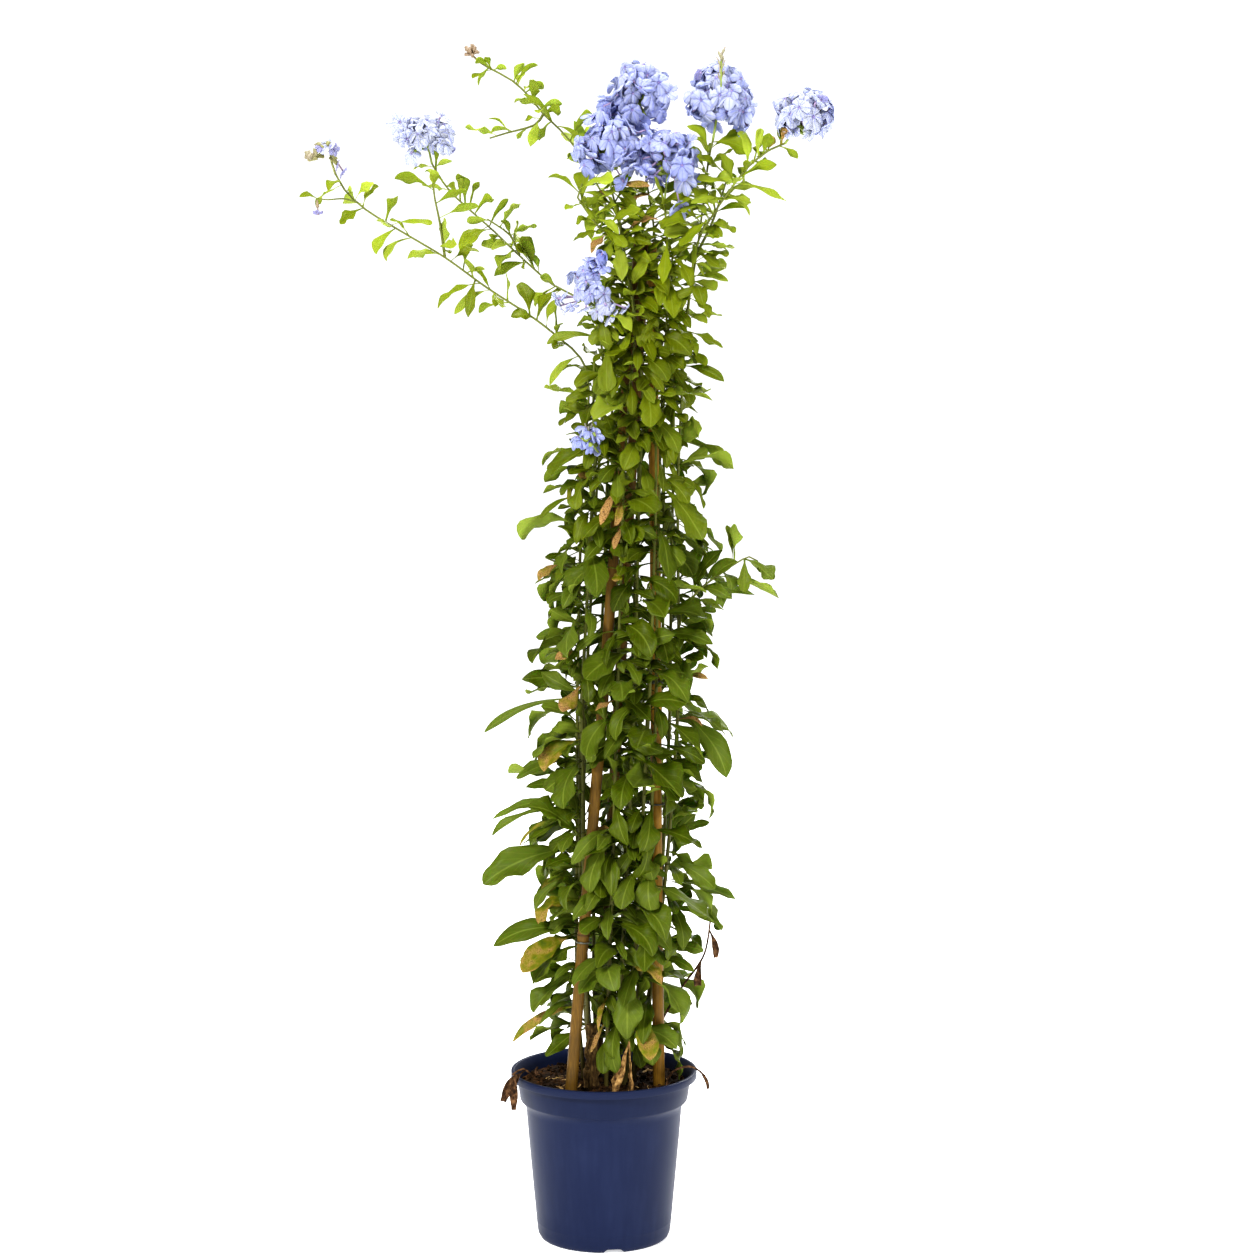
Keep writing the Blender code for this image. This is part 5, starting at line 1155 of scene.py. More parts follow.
def leafMaterial(name, upper):
    # living leaf blade under a thin cuticle: satin gloss above, matt and paler below, veins let in
    settings = {"IOR": 1.45, "Specular IOR Level": 0.12 if upper else 0.08, "Subsurface Weight": 0.18,
                "Subsurface Radius": (0.9, 1.6, 0.3), "Subsurface Scale": 0.9 * mm}
    leaf, add, coords = startMaterial(name, settings)
    tint = add("Attribute", {"attribute_name": "tint"})
    chance, dryness, youthAndLowShade = add("SeparateColor", {"Color": tint}, None)
    plan = add("UVMap", {"uv_map": "leafPlan"})
    across, along, _ = add("SeparateXYZ", {"Vector": plan}, None)
    offRib = add("Math", {"operation": "SUBTRACT", 0: across, 1: 0.5})
    offRib = add("Math", {"operation": "ABSOLUTE", 0: offRib})
    rib = add("MapRange", {"Value": offRib, "From Min": 0.05, "From Max": 0.015})
    # side veins run forwards from the rib, about 6 mm apart on a large leaf
    slant = add("Math", {"operation": "MULTIPLY_ADD", 0: offRib, 1: -0.62, 2: along})
    wave = add("Math", {"operation": "MULTIPLY", 0: slant, 1: math.tau * leafLook["veinPairs"]})
    wave = add("Math", {"operation": "COSINE", 0: wave})
    vein = add("MapRange", {"Value": wave, "From Min": 0.8, "From Max": 1.0})

    # blotches about 10 mm across, and 1.5 mm mottle between the small veins
    blotch = add("TexNoise", {"Vector": coords, "Scale": 95.0, "Detail": 2.0})
    mottle = add("TexNoise", {"Vector": coords, "Scale": 650.0, "Detail": 2.0})
    # the green follows youth and height: low, old leaves are darker, partly for their age and partly as
    # painted shade at the column's foot
    green = add("ValToRGB", {"Fac": youthAndLowShade, "stops": leafLook["greens"]})
    if not upper:
        green = add("Mix", {"data_type": "RGBA", 0: 0.55, 6: green, 7: leafLook["underside"]}, 2)
    # painted shade and light: chance darkens the leaves deep in the column and brightens those that stand
    # clear, besides their random tone; blotches add to it
    bright = add("Math", {"operation": "MULTIPLY_ADD", 0: chance, 1: 0.72, 2: 0.54})
    bright = add("Math", {"operation": "MULTIPLY_ADD", 0: blotch, 1: 0.26, 2: bright})
    # painted light: a leaf painted bright, most often one that stands clear, has its green washed out a
    # little, as if light came through it
    paintedWashOut = add("MapRange", {"Value": chance, "From Min": 0.6, "From Max": 1.4, "To Min": 1.0,
                              "To Max": leafLook["paintedWashOut"]})
    green = add("HueSaturation", {"Saturation": paintedWashOut, "Value": bright, "Color": green})
    mottled = add("HueSaturation", {"Hue": 0.488, "Value": 1.14, "Color": green})
    green = add("Mix", {"data_type": "RGBA", 0: mottle, 6: green, 7: mottled}, 2)
    lines = add("Math", {"operation": "MULTIPLY", 0: vein, 1: 0.3})
    lines = add("Math", {"operation": "MAXIMUM", 0: lines, 1: rib})
    lines = add("Math", {"operation": "MULTIPLY", 0: lines, 1: 0.36})
    green = add("Mix", {"data_type": "RGBA", 0: lines, 6: green, 7: leafLook["rib"]}, 2)

    # dry patches spread from a few blotches and the tip, and take the whole blade when dryness is near one
    margin = add("Math", {"operation": "MULTIPLY_ADD", 0: along, 1: 0.22, 2: blotch})
    gone = add("Math", {"operation": "MULTIPLY_ADD", 0: dryness, 1: 1.05, 2: margin})
    yellow = add("MapRange", {"Value": gone, "From Min": 0.86, "From Max": 1.12, "To Max": 0.85})
    green = add("Mix", {"data_type": "RGBA", 0: yellow, 6: green, 7: leafLook["yellowed"]}, 2)
    patch = add("MapRange", {"Value": gone, "From Min": 1.02, "From Max": 1.3})
    dry = add("ValToRGB", {"Fac": mottle, "stops": leafLook["dry"]})
    tone = add("Mix", {"data_type": "RGBA", 0: patch, 6: green, 7: dry}, 2)
    rough = add("MapRange", {"Value": mottle, "To Min": 0.36 if upper else 0.6,
                             "To Max": 0.52 if upper else 0.75})
    rough = add("Math", {"operation": "MULTIPLY_ADD", 0: patch, 1: 0.3, 2: rough})
    height = add("Math", {"operation": "MULTIPLY_ADD", 0: vein, 1: -0.5, 2: mottle})
    height = add("Math", {"operation": "SUBTRACT", 0: height, 1: rib})
    bump = add("Bump", {"Strength": 0.3, "Distance": 0.3 * mm, "Height": height})
    return finishMaterial(leaf, {"Base Color": tone, "Roughness": rough, "Normal": bump})


def addLeaf(shape, tint, blade, draw):
    size = blade.length / mm
    across, rows = (4, 13) if size > 42 else (4, 10) if size > 24 else (2, 7)
    grid = bmesh.ops.create_grid(shape, x_segments=across, y_segments=rows, size=1.0, calc_uvs=True)
    height = blade.frame(0.6)[0].z
    # youth rises with height, and painted shade falls with it
    first, span = leafLook["youthAndLessShadeFrom"]
    youthAndLowShade = min(1.0, max(0.0, (height - first) / span + draw.uniform(-0.2, 0.2)))
    # painted shade and light: the tone is darker for a leaf near the column's middle, and brighter for one
    # that stands clear of it
    centre, halfWidth = (between(column["table"], height / mm, index) * mm for index in (1, 2))
    off = math.hypot(blade.frame(0.6)[0].x - centre, blade.frame(0.6)[0].y) / halfWidth
    outer = min(1.0, math.hypot(blade.root.x - centre, blade.frame(0.6)[0].y) / halfWidth)
    lit = leafLook["lit"] * min(1.0, max(0.0, off - 1.0)) * (1 - 0.6 * youthAndLowShade)
    colour = (draw.random() * (0.25 + 0.75 * outer) + lit, blade.dry, youthAndLowShade, 1.0)
    curl, ripple, fold, twist, wedge, power, scallop, slim = (draw.uniform(*leafLook[key]) for key in (
        "curl", "ripple", "fold", "twist", "basePower", "tipPower", "scallop", "slim"))
    slim = 1.0 if blade.seen else slim
    waves = draw.uniform(11, 19) * rows / 13
    widest = wedge / (wedge + power)
    peak = widest ** wedge * (1 - widest) ** power
    for vert in grid["verts"]:
        side, row = -vert.co.x, (vert.co.y + 1) / 2
        t = 1 - (1 - row) ** 1.6
        place, sideways, normal = blade.frame(t)
        share = max(0.0, t - leafRule["petioleShare"]) / (1 - leafRule["petioleShare"])
        half = blade.width * slim / 2 * share ** wedge * (1 - share) ** power / peak
        half = max(half, leafRule["petioleHalf"] * (1 - 0.6 * t))
        turn = twist * t * t
        sideways, normal = (sideways * math.cos(turn) + normal * math.sin(turn),
                            normal * math.cos(turn) - sideways * math.sin(turn))
        edge = half * side * (1 + scallop * math.sin(t * waves * 1.2 + blade.wave * 5 + side))
        lift = half * (0.1 + fold) * abs(side) ** 1.3
        lift += half * 0.2 * abs(side) * math.sin(blade.wave + t * 11 + side * 1.3)
        lift += half * ripple * side * side * math.sin(t * waves + blade.wave * 3 + side * 2)
        lift -= blade.length * curl * max(0.0, t - 0.55) ** 2
        vert.co = place + sideways * edge + normal * lift
        vert[tint] = colour


def makeFoliage(name, blades, materials):
    shape, tint = tintedShape("leafPlan")
    draw = random.Random("tint " + name)
    for blade in blades:
        addLeaf(shape, tint, blade, draw)
    thicken(finishPiece("foliage_" + name, shape, materials, "leaf"), "Leaf thickness", leafLook["thick"], 1)


# Shoots: ribbed stems, olive brown and woody at the foot, green towards the tips.

shootLook = {
    "skin": (("#4d3f1d", 0.0), ("#5a5a21", 0.25), ("#687028", 0.8)),  # from the woody foot to the tips
    "ribs": 0.5 * mm,  # from rib to rib
}
sideTwig = {  # the thin one near the low left tip, with a round leaf and a dried flower that hangs from it
    "route": [(-212, -57, 937), (-224, -62, 940), (-238, -66, 939), (-247, -67, 940)],
    "radius": (0.8 * mm, 0.5 * mm),
    "leafTip": (-262, -70, 943),
    "leafWidth": 9,
    "flower": ((-247, -67, 939), (-246, -69, 926)),
}


def growTube(shape, path, radii, sides):
    # A ring pulled along a route, closed at both ends.
    ahead = (path[1] - path[0]).normalized()
    placed = Matrix.LocRotScale(path[0], ahead.to_track_quat("Z", "Y"), Vector((radii[0],) * 3))
    ring = bmesh.ops.create_circle(shape, cap_ends=True, segments=sides, radius=1.0, matrix=placed)["verts"]
    made = list(ring)
    edges = list({edge for vert in ring for edge in vert.link_edges})
    for index in range(1, len(path)):
        step = bmesh.ops.extrude_edge_only(shape, edges=edges)["geom"]
        ring = [item for item in step if isinstance(item, bmesh.types.BMVert)]
        fresh = set(ring)
        edges = [item for item in step
                 if isinstance(item, bmesh.types.BMEdge) and fresh.issuperset(item.verts)]
        onward = (path[min(index + 1, len(path) - 1)] - path[index - 1]).normalized()
        turn = ahead.rotation_difference(onward).to_matrix().to_4x4()
        move = Matrix.Translation(path[index]) @ turn @ Matrix.Scale(radii[index] / radii[index - 1], 4)
        bmesh.ops.transform(shape, matrix=move @ Matrix.Translation(-path[index - 1]), verts=ring)
        ahead = onward
        made += ring
    bmesh.ops.edgeloop_fill(shape, edges=edges)
    return made


def shootMaterial():
    # herbaceous shoot: fine ribs along it, lignified and brown at the foot
    settings = {"Roughness": 0.5, "IOR": 1.45, "Specular IOR Level": 0.3}
    shoot, add, coords = startMaterial("shootSkin", settings)
    height = add("SeparateXYZ", {"Vector": coords}, "Z")
    patchy = add("TexNoise", {"Vector": coords, "Scale": 90.0, "Detail": 3.0})
    height = add("Math", {"operation": "MULTIPLY_ADD", 0: patchy, 1: 0.25, 2: height})
    share = add("MapRange", {"Value": height, "From Min": 0.2, "From Max": 1.1})
    tone = add("ValToRGB", {"Fac": share, "stops": shootLook["skin"]})
    stretched = add("Mapping", {"Vector": coords, "Scale": (1.0, 1.0, 0.03)})
    ribs = add("TexNoise", {"Vector": stretched, "Scale": 1 / shootLook["ribs"]})
    dark = add("HueSaturation", {"Value": 0.6, "Color": tone})
    tone = add("Mix", {"data_type": "RGBA", 0: ribs, 6: dark, 7: tone}, 2)
    bump = add("Bump", {"Strength": 0.5, "Distance": 0.2 * mm, "Height": ribs})
    return finishMaterial(shoot, {"Base Color": tone, "Normal": bump})


def makeShoots(name, material):
    shape = bmesh.new()
    path = stemRoute(name, 0.1 * mm)
    growTube(shape, path, taper(path, stems["radius"], stems["taperTop"]), 8)
    for twig, route in twigs["routes"].items():
        if route[0] == name:
            path = twigRoute(twig, 0.1 * mm)
            growTube(shape, path, taper(path, twigs["radius"]), 6)
    if name == "stem_left":
        path = smoothRoute([metres(point) for point in sideTwig["route"]], 4 * mm)
        path[0] = nearestOn(stemRoute(name), path[0])
        growTube(shape, path, taper(path, sideTwig["radius"]), 6)
    finishPiece("shoot_" + name, shape, [material], "leaf", name, closed=True)


def makePlant():
    materials = [leafMaterial("leafWaxyUpperSide", True), leafMaterial("leafPaleUnderside", False)]
    skin = shootMaterial()
    carried = {}
    for name in routes:
        owner = twigs["routes"][name][0] if name in twigs["routes"] else name
        carried.setdefault(owner, []).extend(leaves[name] + fineBlades[name])
    root, tip = metres(sideTwig["route"][-1]), metres(sideTwig["leafTip"])
    draw = random.Random("side twig")
    carried["stem_left"].append(aimedBlade(root, tip, sideTwig["leafWidth"] * mm, draw))
    markDryLeaves([blade for blades in carried.values() for blade in blades])
    for name, blades in carried.items():
        makeShoots(name, skin)
        makeFoliage(name, blades, materials)


makePlant()
print("leafy stems done")


# Flower heads: pale blue florets on slender tubes, each from a bristly green calyx.

headLook = {
    # florets all round, how pale, buds, calyces without a floret, and pixels of florets that the photo shows
    "bloom_a": (22, 1.0, 4, 4, ((400, 122), (411, 119), (425, 120), (438, 122), (447, 131), (418, 133),
        (432, 136), (445, 143), (407, 139), (411, 153), (427, 128), (441, 116))),
    "bloom_b": (0, 0.8, 2, 18, ((321, 147), (328, 144), (334, 149), (337, 163), (343, 171))),
    "bloom_c1": (44, 0.28, 6, 8, ((607, 98), (604, 106), (612, 104), (598, 117), (622, 120), (640, 122),
        (610, 116), (628, 116), (618, 108), (656, 118), (664, 108), (634, 128), (650, 130))),
    "bloom_c2": (50, 0.12, 4, 6, ((592, 116), (601, 110), (630, 127), (612, 130), (646, 130), (640, 140),
        (597, 128), (630, 168), (640, 155), (612, 120), (624, 182))),
    "bloom_c3": (44, 0.16, 6, 8, ((676, 132), (690, 143), (680, 207), (684, 180), (646, 172), (652, 138),
        (690, 168))),
    "bloom_d": (64, 0.36, 10, 8, ((706, 90), (716, 100), (730, 96), (702, 104), (738, 108), (700, 72),
        (708, 68), (744, 112), (748, 126), (692, 112))),
    "bloom_e": (35, 0.75, 4, 8, ((777, 120), (775, 108), (785, 98), (797, 92), (810, 93), (821, 100),
        (829, 112), (826, 124), (812, 130), (806, 116), (789, 110), (803, 103), (784, 126))),
    "bloom_f": (4, 0.35, 6, 6, ((603, 252), (596, 258), (588, 262), (583, 270), (594, 274), (602, 268),
        (586, 281), (598, 284), (578, 290), (590, 294), (566, 296), (557, 299), (572, 306), (586, 308),
        (597, 312), (606, 305), (615, 309), (627, 309), (560, 306), (604, 294), (610, 316))),
    "bloom_g": (4, 0.1, 3, 4, ((597, 423), (590, 431), (596, 434), (582, 440), (590, 445), (577, 437),
        (586, 427))),
    "bloom_h": (0, 0.0, 0, 18, ()),
    "small": {"bloom_g": 0.72, "bloom_f": 0.82, "bloom_a": 0.92, "bloom_b": 0.86},  # florets below full size
    "upwards": {"bloom_f": -0.5, "bloom_c1": 0.25, "bloom_d": 0.2},  # paler towards the top, or the foot
    "spike": {"bloom_d": (0, -32, 34), "bloom_b": (-15, -2, -9)},  # from the middle to the tip of the axis
    "fan": {"bloom_e": (-0.8, -0.65), "bloom_a": (-0.5, -0.35)},  # where the tubes meet, in half heights
    "open": {"bloom_c1": (646, 103, 8), "bloom_e": (802, 124, 9)},  # pixel and radius of a gap in the head
    "dry": {"bloom_b": 0.5, "bloom_h": 0.95},
    "sunk": 1.4,  # mm of the stalk inside its branch
    "budLength": (7, 10),
    "tubeRadii": (0.5, 0.85),  # in mm, at the calyx and at the throat
}
petalLook = {
    "pale": "#a3a7bc",
    "full": "#8088c6",
    "line": "#7077c0",
    "throat": "#746cb2",
    "faded": "#5c5182",
    "across": (15.5, 22),  # a floret's width in mm
    "slimness": (0.43, 0.58),  # half a petal's width to its length
    "droop": (0.0, 0.9),
    "cup": (-0.1, 0.5),
    "sag": (0.05, 0.55),
    "tilt": 0.95,
    "thick": 0.22 * mm,
}
calyxLook = {"green": "#80903a", "violet": "#a08aac", "spent": "#86705a", "length": 10 * mm}


def petalMaterial():
    # thin silky petal: soft and matt, lets light through, with a darker line down its middle
    petal, add, coords = startMaterial("petalSilky", {
        "Roughness": 0.62, "IOR": 1.4, "Specular IOR Level": 0.15,
        "Subsurface Weight": 0.5, "Subsurface Radius": (1.6, 1.7, 2.2), "Subsurface Scale": 1.0 * mm})
    tint = add("Attribute", {"attribute_name": "tint"})
    chance, paleness, faded = add("SeparateColor", {"Color": tint}, None)
    plan = add("UVMap", {"uv_map": "petalPlan"})
    across, along, _ = add("SeparateXYZ", {"Vector": plan}, None)
    pale = add("Math", {"operation": "MULTIPLY_ADD", 0: chance, 1: 0.5, 2: paleness})
    tone = add("Mix", {"data_type": "RGBA", 0: pale, 6: petalLook["full"], 7: petalLook["pale"]}, 2)
    offLine = add("Math", {"operation": "SUBTRACT", 0: across, 1: 0.5})
    offLine = add("Math", {"operation": "ABSOLUTE", 0: offLine})
    line = add("MapRange", {"Value": offLine, "From Min": 0.1, "From Max": 0.02, "To Max": 0.7})
    tone = add("Mix", {"data_type": "RGBA", 0: line, 6: tone, 7: petalLook["line"]}, 2)
    deep = add("MapRange", {"Value": along, "From Min": 0.16, "From Max": 0.0})
    tone = add("Mix", {"data_type": "RGBA", 0: deep, 6: tone, 7: petalLook["throat"]}, 2)
    crease = add("TexNoise", {"Vector": coords, "Scale": 420.0, "Detail": 3.0})
    bright = add("MapRange", {"Value": crease, "To Min": 0.86, "To Max": 1.1})
    tone = add("HueSaturation", {"Value": bright, "Color": tone})
    tone = add("Mix", {"data_type": "RGBA", 0: faded, 6: tone, 7: petalLook["faded"]}, 2)
    bump = add("Bump", {"Strength": 0.35, "Distance": 0.3 * mm, "Height": crease})
    return finishMaterial(petal, {"Base Color": tone, "Normal": bump})


def calyxMaterial():
    # calyx and floret tube: sticky bristles, with painted glints where they catch the light; the tube turns
    # violet, spent ones brown
    calyx, add, coords = startMaterial("calyxBristly", {"Roughness": 0.5, "IOR": 1.45})
    tint = add("Attribute", {"attribute_name": "tint"})
    _, tube, spent = add("SeparateColor", {"Color": tint}, None)
    tone = add("Mix", {"data_type": "RGBA", 0: tube, 6: calyxLook["green"], 7: calyxLook["violet"]}, 2)
    tone = add("Mix", {"data_type": "RGBA", 0: spent, 6: tone, 7: calyxLook["spent"]}, 2)
    hairs = add("TexNoise", {"Vector": coords, "Scale": 1100.0, "Detail": 2.0})
    # painted glints and shade: the bristles' noise makes the colour lighter and darker
    bright = add("MapRange", {"Value": hairs, "To Min": 0.7, "To Max": 1.3})
    tone = add("HueSaturation", {"Value": bright, "Color": tone})
    bump = add("Bump", {"Strength": 0.7, "Distance": 0.4 * mm, "Height": hairs})
    return finishMaterial(calyx, {"Base Color": tone, "Normal": bump})


def addPetals(shape, tint, throat, outward, size, spin, colour, draw):
    reach = size / 2
    first = outward.orthogonal().normalized()
    second = outward.cross(first)
    droop, cup, sag = (draw.uniform(*petalLook[key]) for key in ("droop", "cup", "sag"))
    for index in range(5):
        angle = spin + (index + draw.uniform(-0.07, 0.07)) * math.tau / 5
        radial = first * math.cos(angle) + second * math.sin(angle)
        sideways = radial.cross(outward)
        width = reach * draw.uniform(*petalLook["slimness"])
        length = reach * draw.uniform(0.92, 1.08)
        bend = droop + draw.uniform(-0.15, 0.25)
        twist = draw.uniform(-0.4, 0.4)
        grid = bmesh.ops.create_grid(shape, x_segments=2, y_segments=4, size=1.0, calc_uvs=True)
        for vert in grid["verts"]:
            side, row = vert.co.x, (vert.co.y + 1) / 2
            wide = width * (0.14 + 0.86 * math.sin(min(1.0, row * 1.25) * math.pi / 2) ** 1.6)
            wide *= 1 - 0.42 * max(0.0, row - 0.7) / 0.3
            out = row * (1 - 0.09 * side * side * row) + 0.05
            lift = cup * out - bend * out * out - 0.09 * abs(side) * (1 - row) + twist * side * row * 0.4
            vert.co = throat + sideways * side * wide + radial * out * length + outward * lift * reach
            vert.co.z -= sag * out * out * reach
            vert[tint] = colour


def addSpindle(shape, tint, start, end, radii, sides, colour):
    along = end - start
    placed = Matrix.LocRotScale(start.lerp(end, 0.5), along.to_track_quat("Z", "Y"), Vector((1, 1, 1)))
    cone = bmesh.ops.create_cone(shape, cap_ends=True, segments=sides, radius1=radii[0], radius2=radii[1],
                                 depth=along.length, matrix=placed)
    for vert in cone["verts"]:
        vert[tint] = colour
    return cone["verts"]


def addCalyx(shape, tint, start, heading, colour, draw, scale=1.0):
    # eight sides with every other edge drawn out, so that it looks bristly
    length = calyxLook["length"] * draw.uniform(0.75, 1.1) * scale
    end = start + heading * length
    verts = addSpindle(shape, tint, start, end, (0.7 * mm, 1.3 * mm * scale), 8, colour)
    for index, vert in enumerate(verts):
        if index % 2:
            off = vert.co - start
            off -= heading * off.dot(heading)
            vert.co += off * 0.7


def headSpots(name, count, draw):
    # florets spread over the head by the golden angle, none of them under its stalk
    centre, halves = blooms["heads"][name][:2]
    middle = metres(centre)
    spots = []
    for index in range(count):
        rise = 1 - (index + 0.5) / count * 1.7
        angle = index * goldenTurn + draw.uniform(-0.25, 0.25)
        flat = math.sqrt(max(0.0, 1 - rise * rise))
        outward = Vector((flat * math.cos(angle), flat * math.sin(angle), rise))
        shell = Vector([a * b * mm for a, b in zip(outward, halves)])
        tilt = anyWay(draw) * petalLook["tilt"]
        spots.append((middle + shell * draw.uniform(0.66, 1.06), (outward + tilt).normalized(), outward))
    return spots


def seenSpots(name, draw):
    # florets that the photo shows, on the front of the head
    centre, halves = blooms["heads"][name][:2]
    middle = metres(centre)
    spots = []
    for across, down in headLook[name][4]:
        place = seenAt(across, down, -middle.y)
        share = ((place.x - middle.x) / halves[0]) ** 2 + ((place.z - middle.z) / halves[2]) ** 2
        front = math.sqrt(max(0.04, 1 - share / mm ** 2)) * draw.uniform(0.6, 1.0)
        place = seenAt(across, down, -middle.y + front * halves[1] * mm)
        outward = (place - middle + Vector((0, -6 * mm, 5 * mm))).normalized()
        tilt = anyWay(draw) * petalLook["tilt"]
        spots.append((place, (outward + tilt).normalized(), outward))
    return spots


def makeHead(name, petal, calyx):
    count, paleness, budCount, bareCount = headLook[name][:4]
    centre, halves = blooms["heads"][name][:2]
    middle = metres(centre)
    tall = halves[2] * mm
    draw = random.Random("head " + name)
    petals, petalTint = tintedShape("petalPlan")
    green, greenTint = tintedShape()
    spent = headLook["dry"].get(name, 0.0)
    start, onward = bloomStalk(name, routes)[:2]
    start -= (onward - start).normalized() * headLook["sunk"] * mm
    top = middle + metres(headLook["spike"].get(name, (0, 0, 0.35 * halves[2])))
    under = [top - Vector((0, 0, 24 * mm))] if name == "bloom_d" else []
    rachis = smoothRoute([start, start.lerp(middle, 0.5), middle, *under, top], 4 * mm)
    for vert in growTube(green, rachis, taper(rachis, (1.1 * mm, 0.7 * mm)), 6):
        vert[greenTint] = (draw.random(), 0.0, spent * 0.7, 1.0)

    def addGreen(root, heading, colour, scale=1.0):
        addCalyx(green, greenTint, root, heading, colour, draw, scale)

    def addTubeTo(end, root, thick, colour):
        addSpindle(green, greenTint, root, end, (headLook["tubeRadii"][0] * mm, thick * mm), 5, colour)

    spots = seenSpots(name, draw) + headSpots(name, count, draw)
    for throat, facing, outward in spots:
        size = draw.uniform(*petalLook["across"]) * mm * headLook["small"].get(name, 1.0)
        gapAcross, gapDown, gapRadius = headLook["open"].get(name, (0, 0, 0))
        if math.dist(photoPixel(throat), (gapAcross, gapDown)) < gapRadius:
            continue
        low, high = headLook["fan"].get(name, (-0.5, 0.3))
        root = middle + (throat - middle) * 0.12 + Vector((0, 0, draw.uniform(low, high) * tall))
        faded = 0.6 if draw.random() < 0.03 or name == "bloom_b" and throat.z < middle.z + 2 * mm else 0.0
        size *= 1 - 0.4 * faded
        paler = headLook["upwards"].get(name, 0.0) * (throat.z - middle.z) / tall
        colour = (draw.random(), paleness * draw.uniform(0.7, 1.2) + paler, faded, 1.0)
        addPetals(petals, petalTint, throat, facing, size, draw.uniform(0, math.tau), colour, draw)
        tubeEnd = throat - facing * 0.3 * mm  # just under the petals
        addTubeTo(tubeEnd, root, headLook["tubeRadii"][1], (draw.random(), 1.0, spent, 1.0))
        addGreen(root, (throat - root).normalized(), (draw.random(), 0.0, spent, 1.0))
    for throat, facing, outward in headSpots(name, bareCount, draw):
        root = middle + Vector((0, 0, draw.uniform(-0.5, 0.6) * tall))
        if name == "bloom_b":
            root = middle.lerp(top, draw.uniform(0, 1.1))
        lean = (outward + Vector((0, 0, 0.7))).normalized()
        brown = spent or draw.uniform(0, 0.35)
        colour = (draw.random(), draw.uniform(0, 0.4), brown, 1.0)
        addGreen(root, lean, colour, 0.75 if name == "bloom_h" else 1.0)
    for index in range(budCount):
        angle = index * goldenTurn
        lean = Vector((math.cos(angle) * 0.45, math.sin(angle) * 0.45, 1)).normalized()
        root = top - Vector((0, 0, 2.4 * mm * index)) if name == "bloom_d" else top.lerp(middle, 0.07 * index)
        brown = 0.35 if name == "bloom_d" else spent
        addGreen(root, lean, (draw.random(), 0.3, brown, 1.0), 0.6)
        tip = root + lean * draw.uniform(*headLook["budLength"]) * mm
        addTubeTo(tip, root, 0.8, (draw.random(), 0.5, brown, 1.0))
    if name == "bloom_b":
        root, throat = (metres(point) for point in sideTwig["flower"])
        colour = (draw.random(), 0.5, 0.7, 1.0)
        addGreen(root, (throat - root).normalized(), (draw.random(), 0.3, 0.8, 1.0), 0.8)
        addTubeTo(throat, root, 0.8, (draw.random(), 0.8, 0.9, 1.0))
        addPetals(petals, petalTint, throat, Vector((0.2, -0.5, -1)).normalized(), 9 * mm, 0.4, colour, draw)
    if spots:
        florets = finishPiece("florets_" + name, petals, [petal], "petal", name)
        thicken(florets, "Petal thickness", petalLook["thick"])
    else:
        petals.free()
    finishPiece("calyces_" + name, green, [calyx], "petal", *([] if spots else [name]), closed=True)


def makeHeads():
    petal, calyx = petalMaterial(), calyxMaterial()
    for name in blooms["heads"]:
        makeHead(name, petal, calyx)


makeHeads()
print("flower heads done")


# Pot: injection-moulded polypropylene in dark blue, satin, with soft scuffs.

potLook = {
    "colour": "#161f3b",
    "worn": "#232c49",
    # painted shade: how dark the collar is made
    "collarPaintedShade": 0.84,
    "steps": 96,
    "notches": 4,
    "notchTurn": math.radians(9),
    "notchHalf": math.radians(9.5),
    "notchHeight": 3.6 * mm,
    # outer face from the rim down: radius and height
    "outer": (
        (84.3, 155), (84.8, 154.7), (85, 154.1), (85, 148.6), (84.6, 148.1), (79.3, 147.4), (79, 146.6),
        (78.4, 141), (76.7, 129.2), (76.4, 128.4), (75.9, 127.7), (73.2, 125.4), (71.6, 122), (71.0, 119),
        (69.2, 96), (67.4, 76), (65.2, 52), (63.2, 30), (61.9, 16.4), (62.0, 15.6), (61.7, 14.8), (61.2, 9),
        (60.4, 4.4), (59.2, 1.6), (57.8, 0.4), (56.6, 0), (54.2, 0), (53.6, 0.5), (53.2, 3), (0, 3.4)),
    # inner face from the middle of the floor up
    "inner": ((0, 4.6), (57, 4.6), (59.7, 12), (69.2, 120.8), (74.6, 129), (77.2, 148), (81.6, 154.6),
              (82.2, 155)),
}


def spinProfile(shape, profile, steps):
    # The profile of radius and height is turned about the upright axis, and its poles are welded.
    verts = [shape.verts.new((radius * mm, 0, height * mm)) for radius, height in profile]
    edges = [shape.edges.new(pair) for pair in zip(verts, verts[1:])]
    bmesh.ops.spin(shape, geom=verts + edges, cent=(0, 0, 0), axis=(0, 0, 1), angle=math.tau, steps=steps,
                   use_merge=True)
    bmesh.ops.remove_doubles(shape, verts=shape.verts, dist=0.01 * mm)
    bmesh.ops.recalc_face_normals(shape, faces=shape.faces)


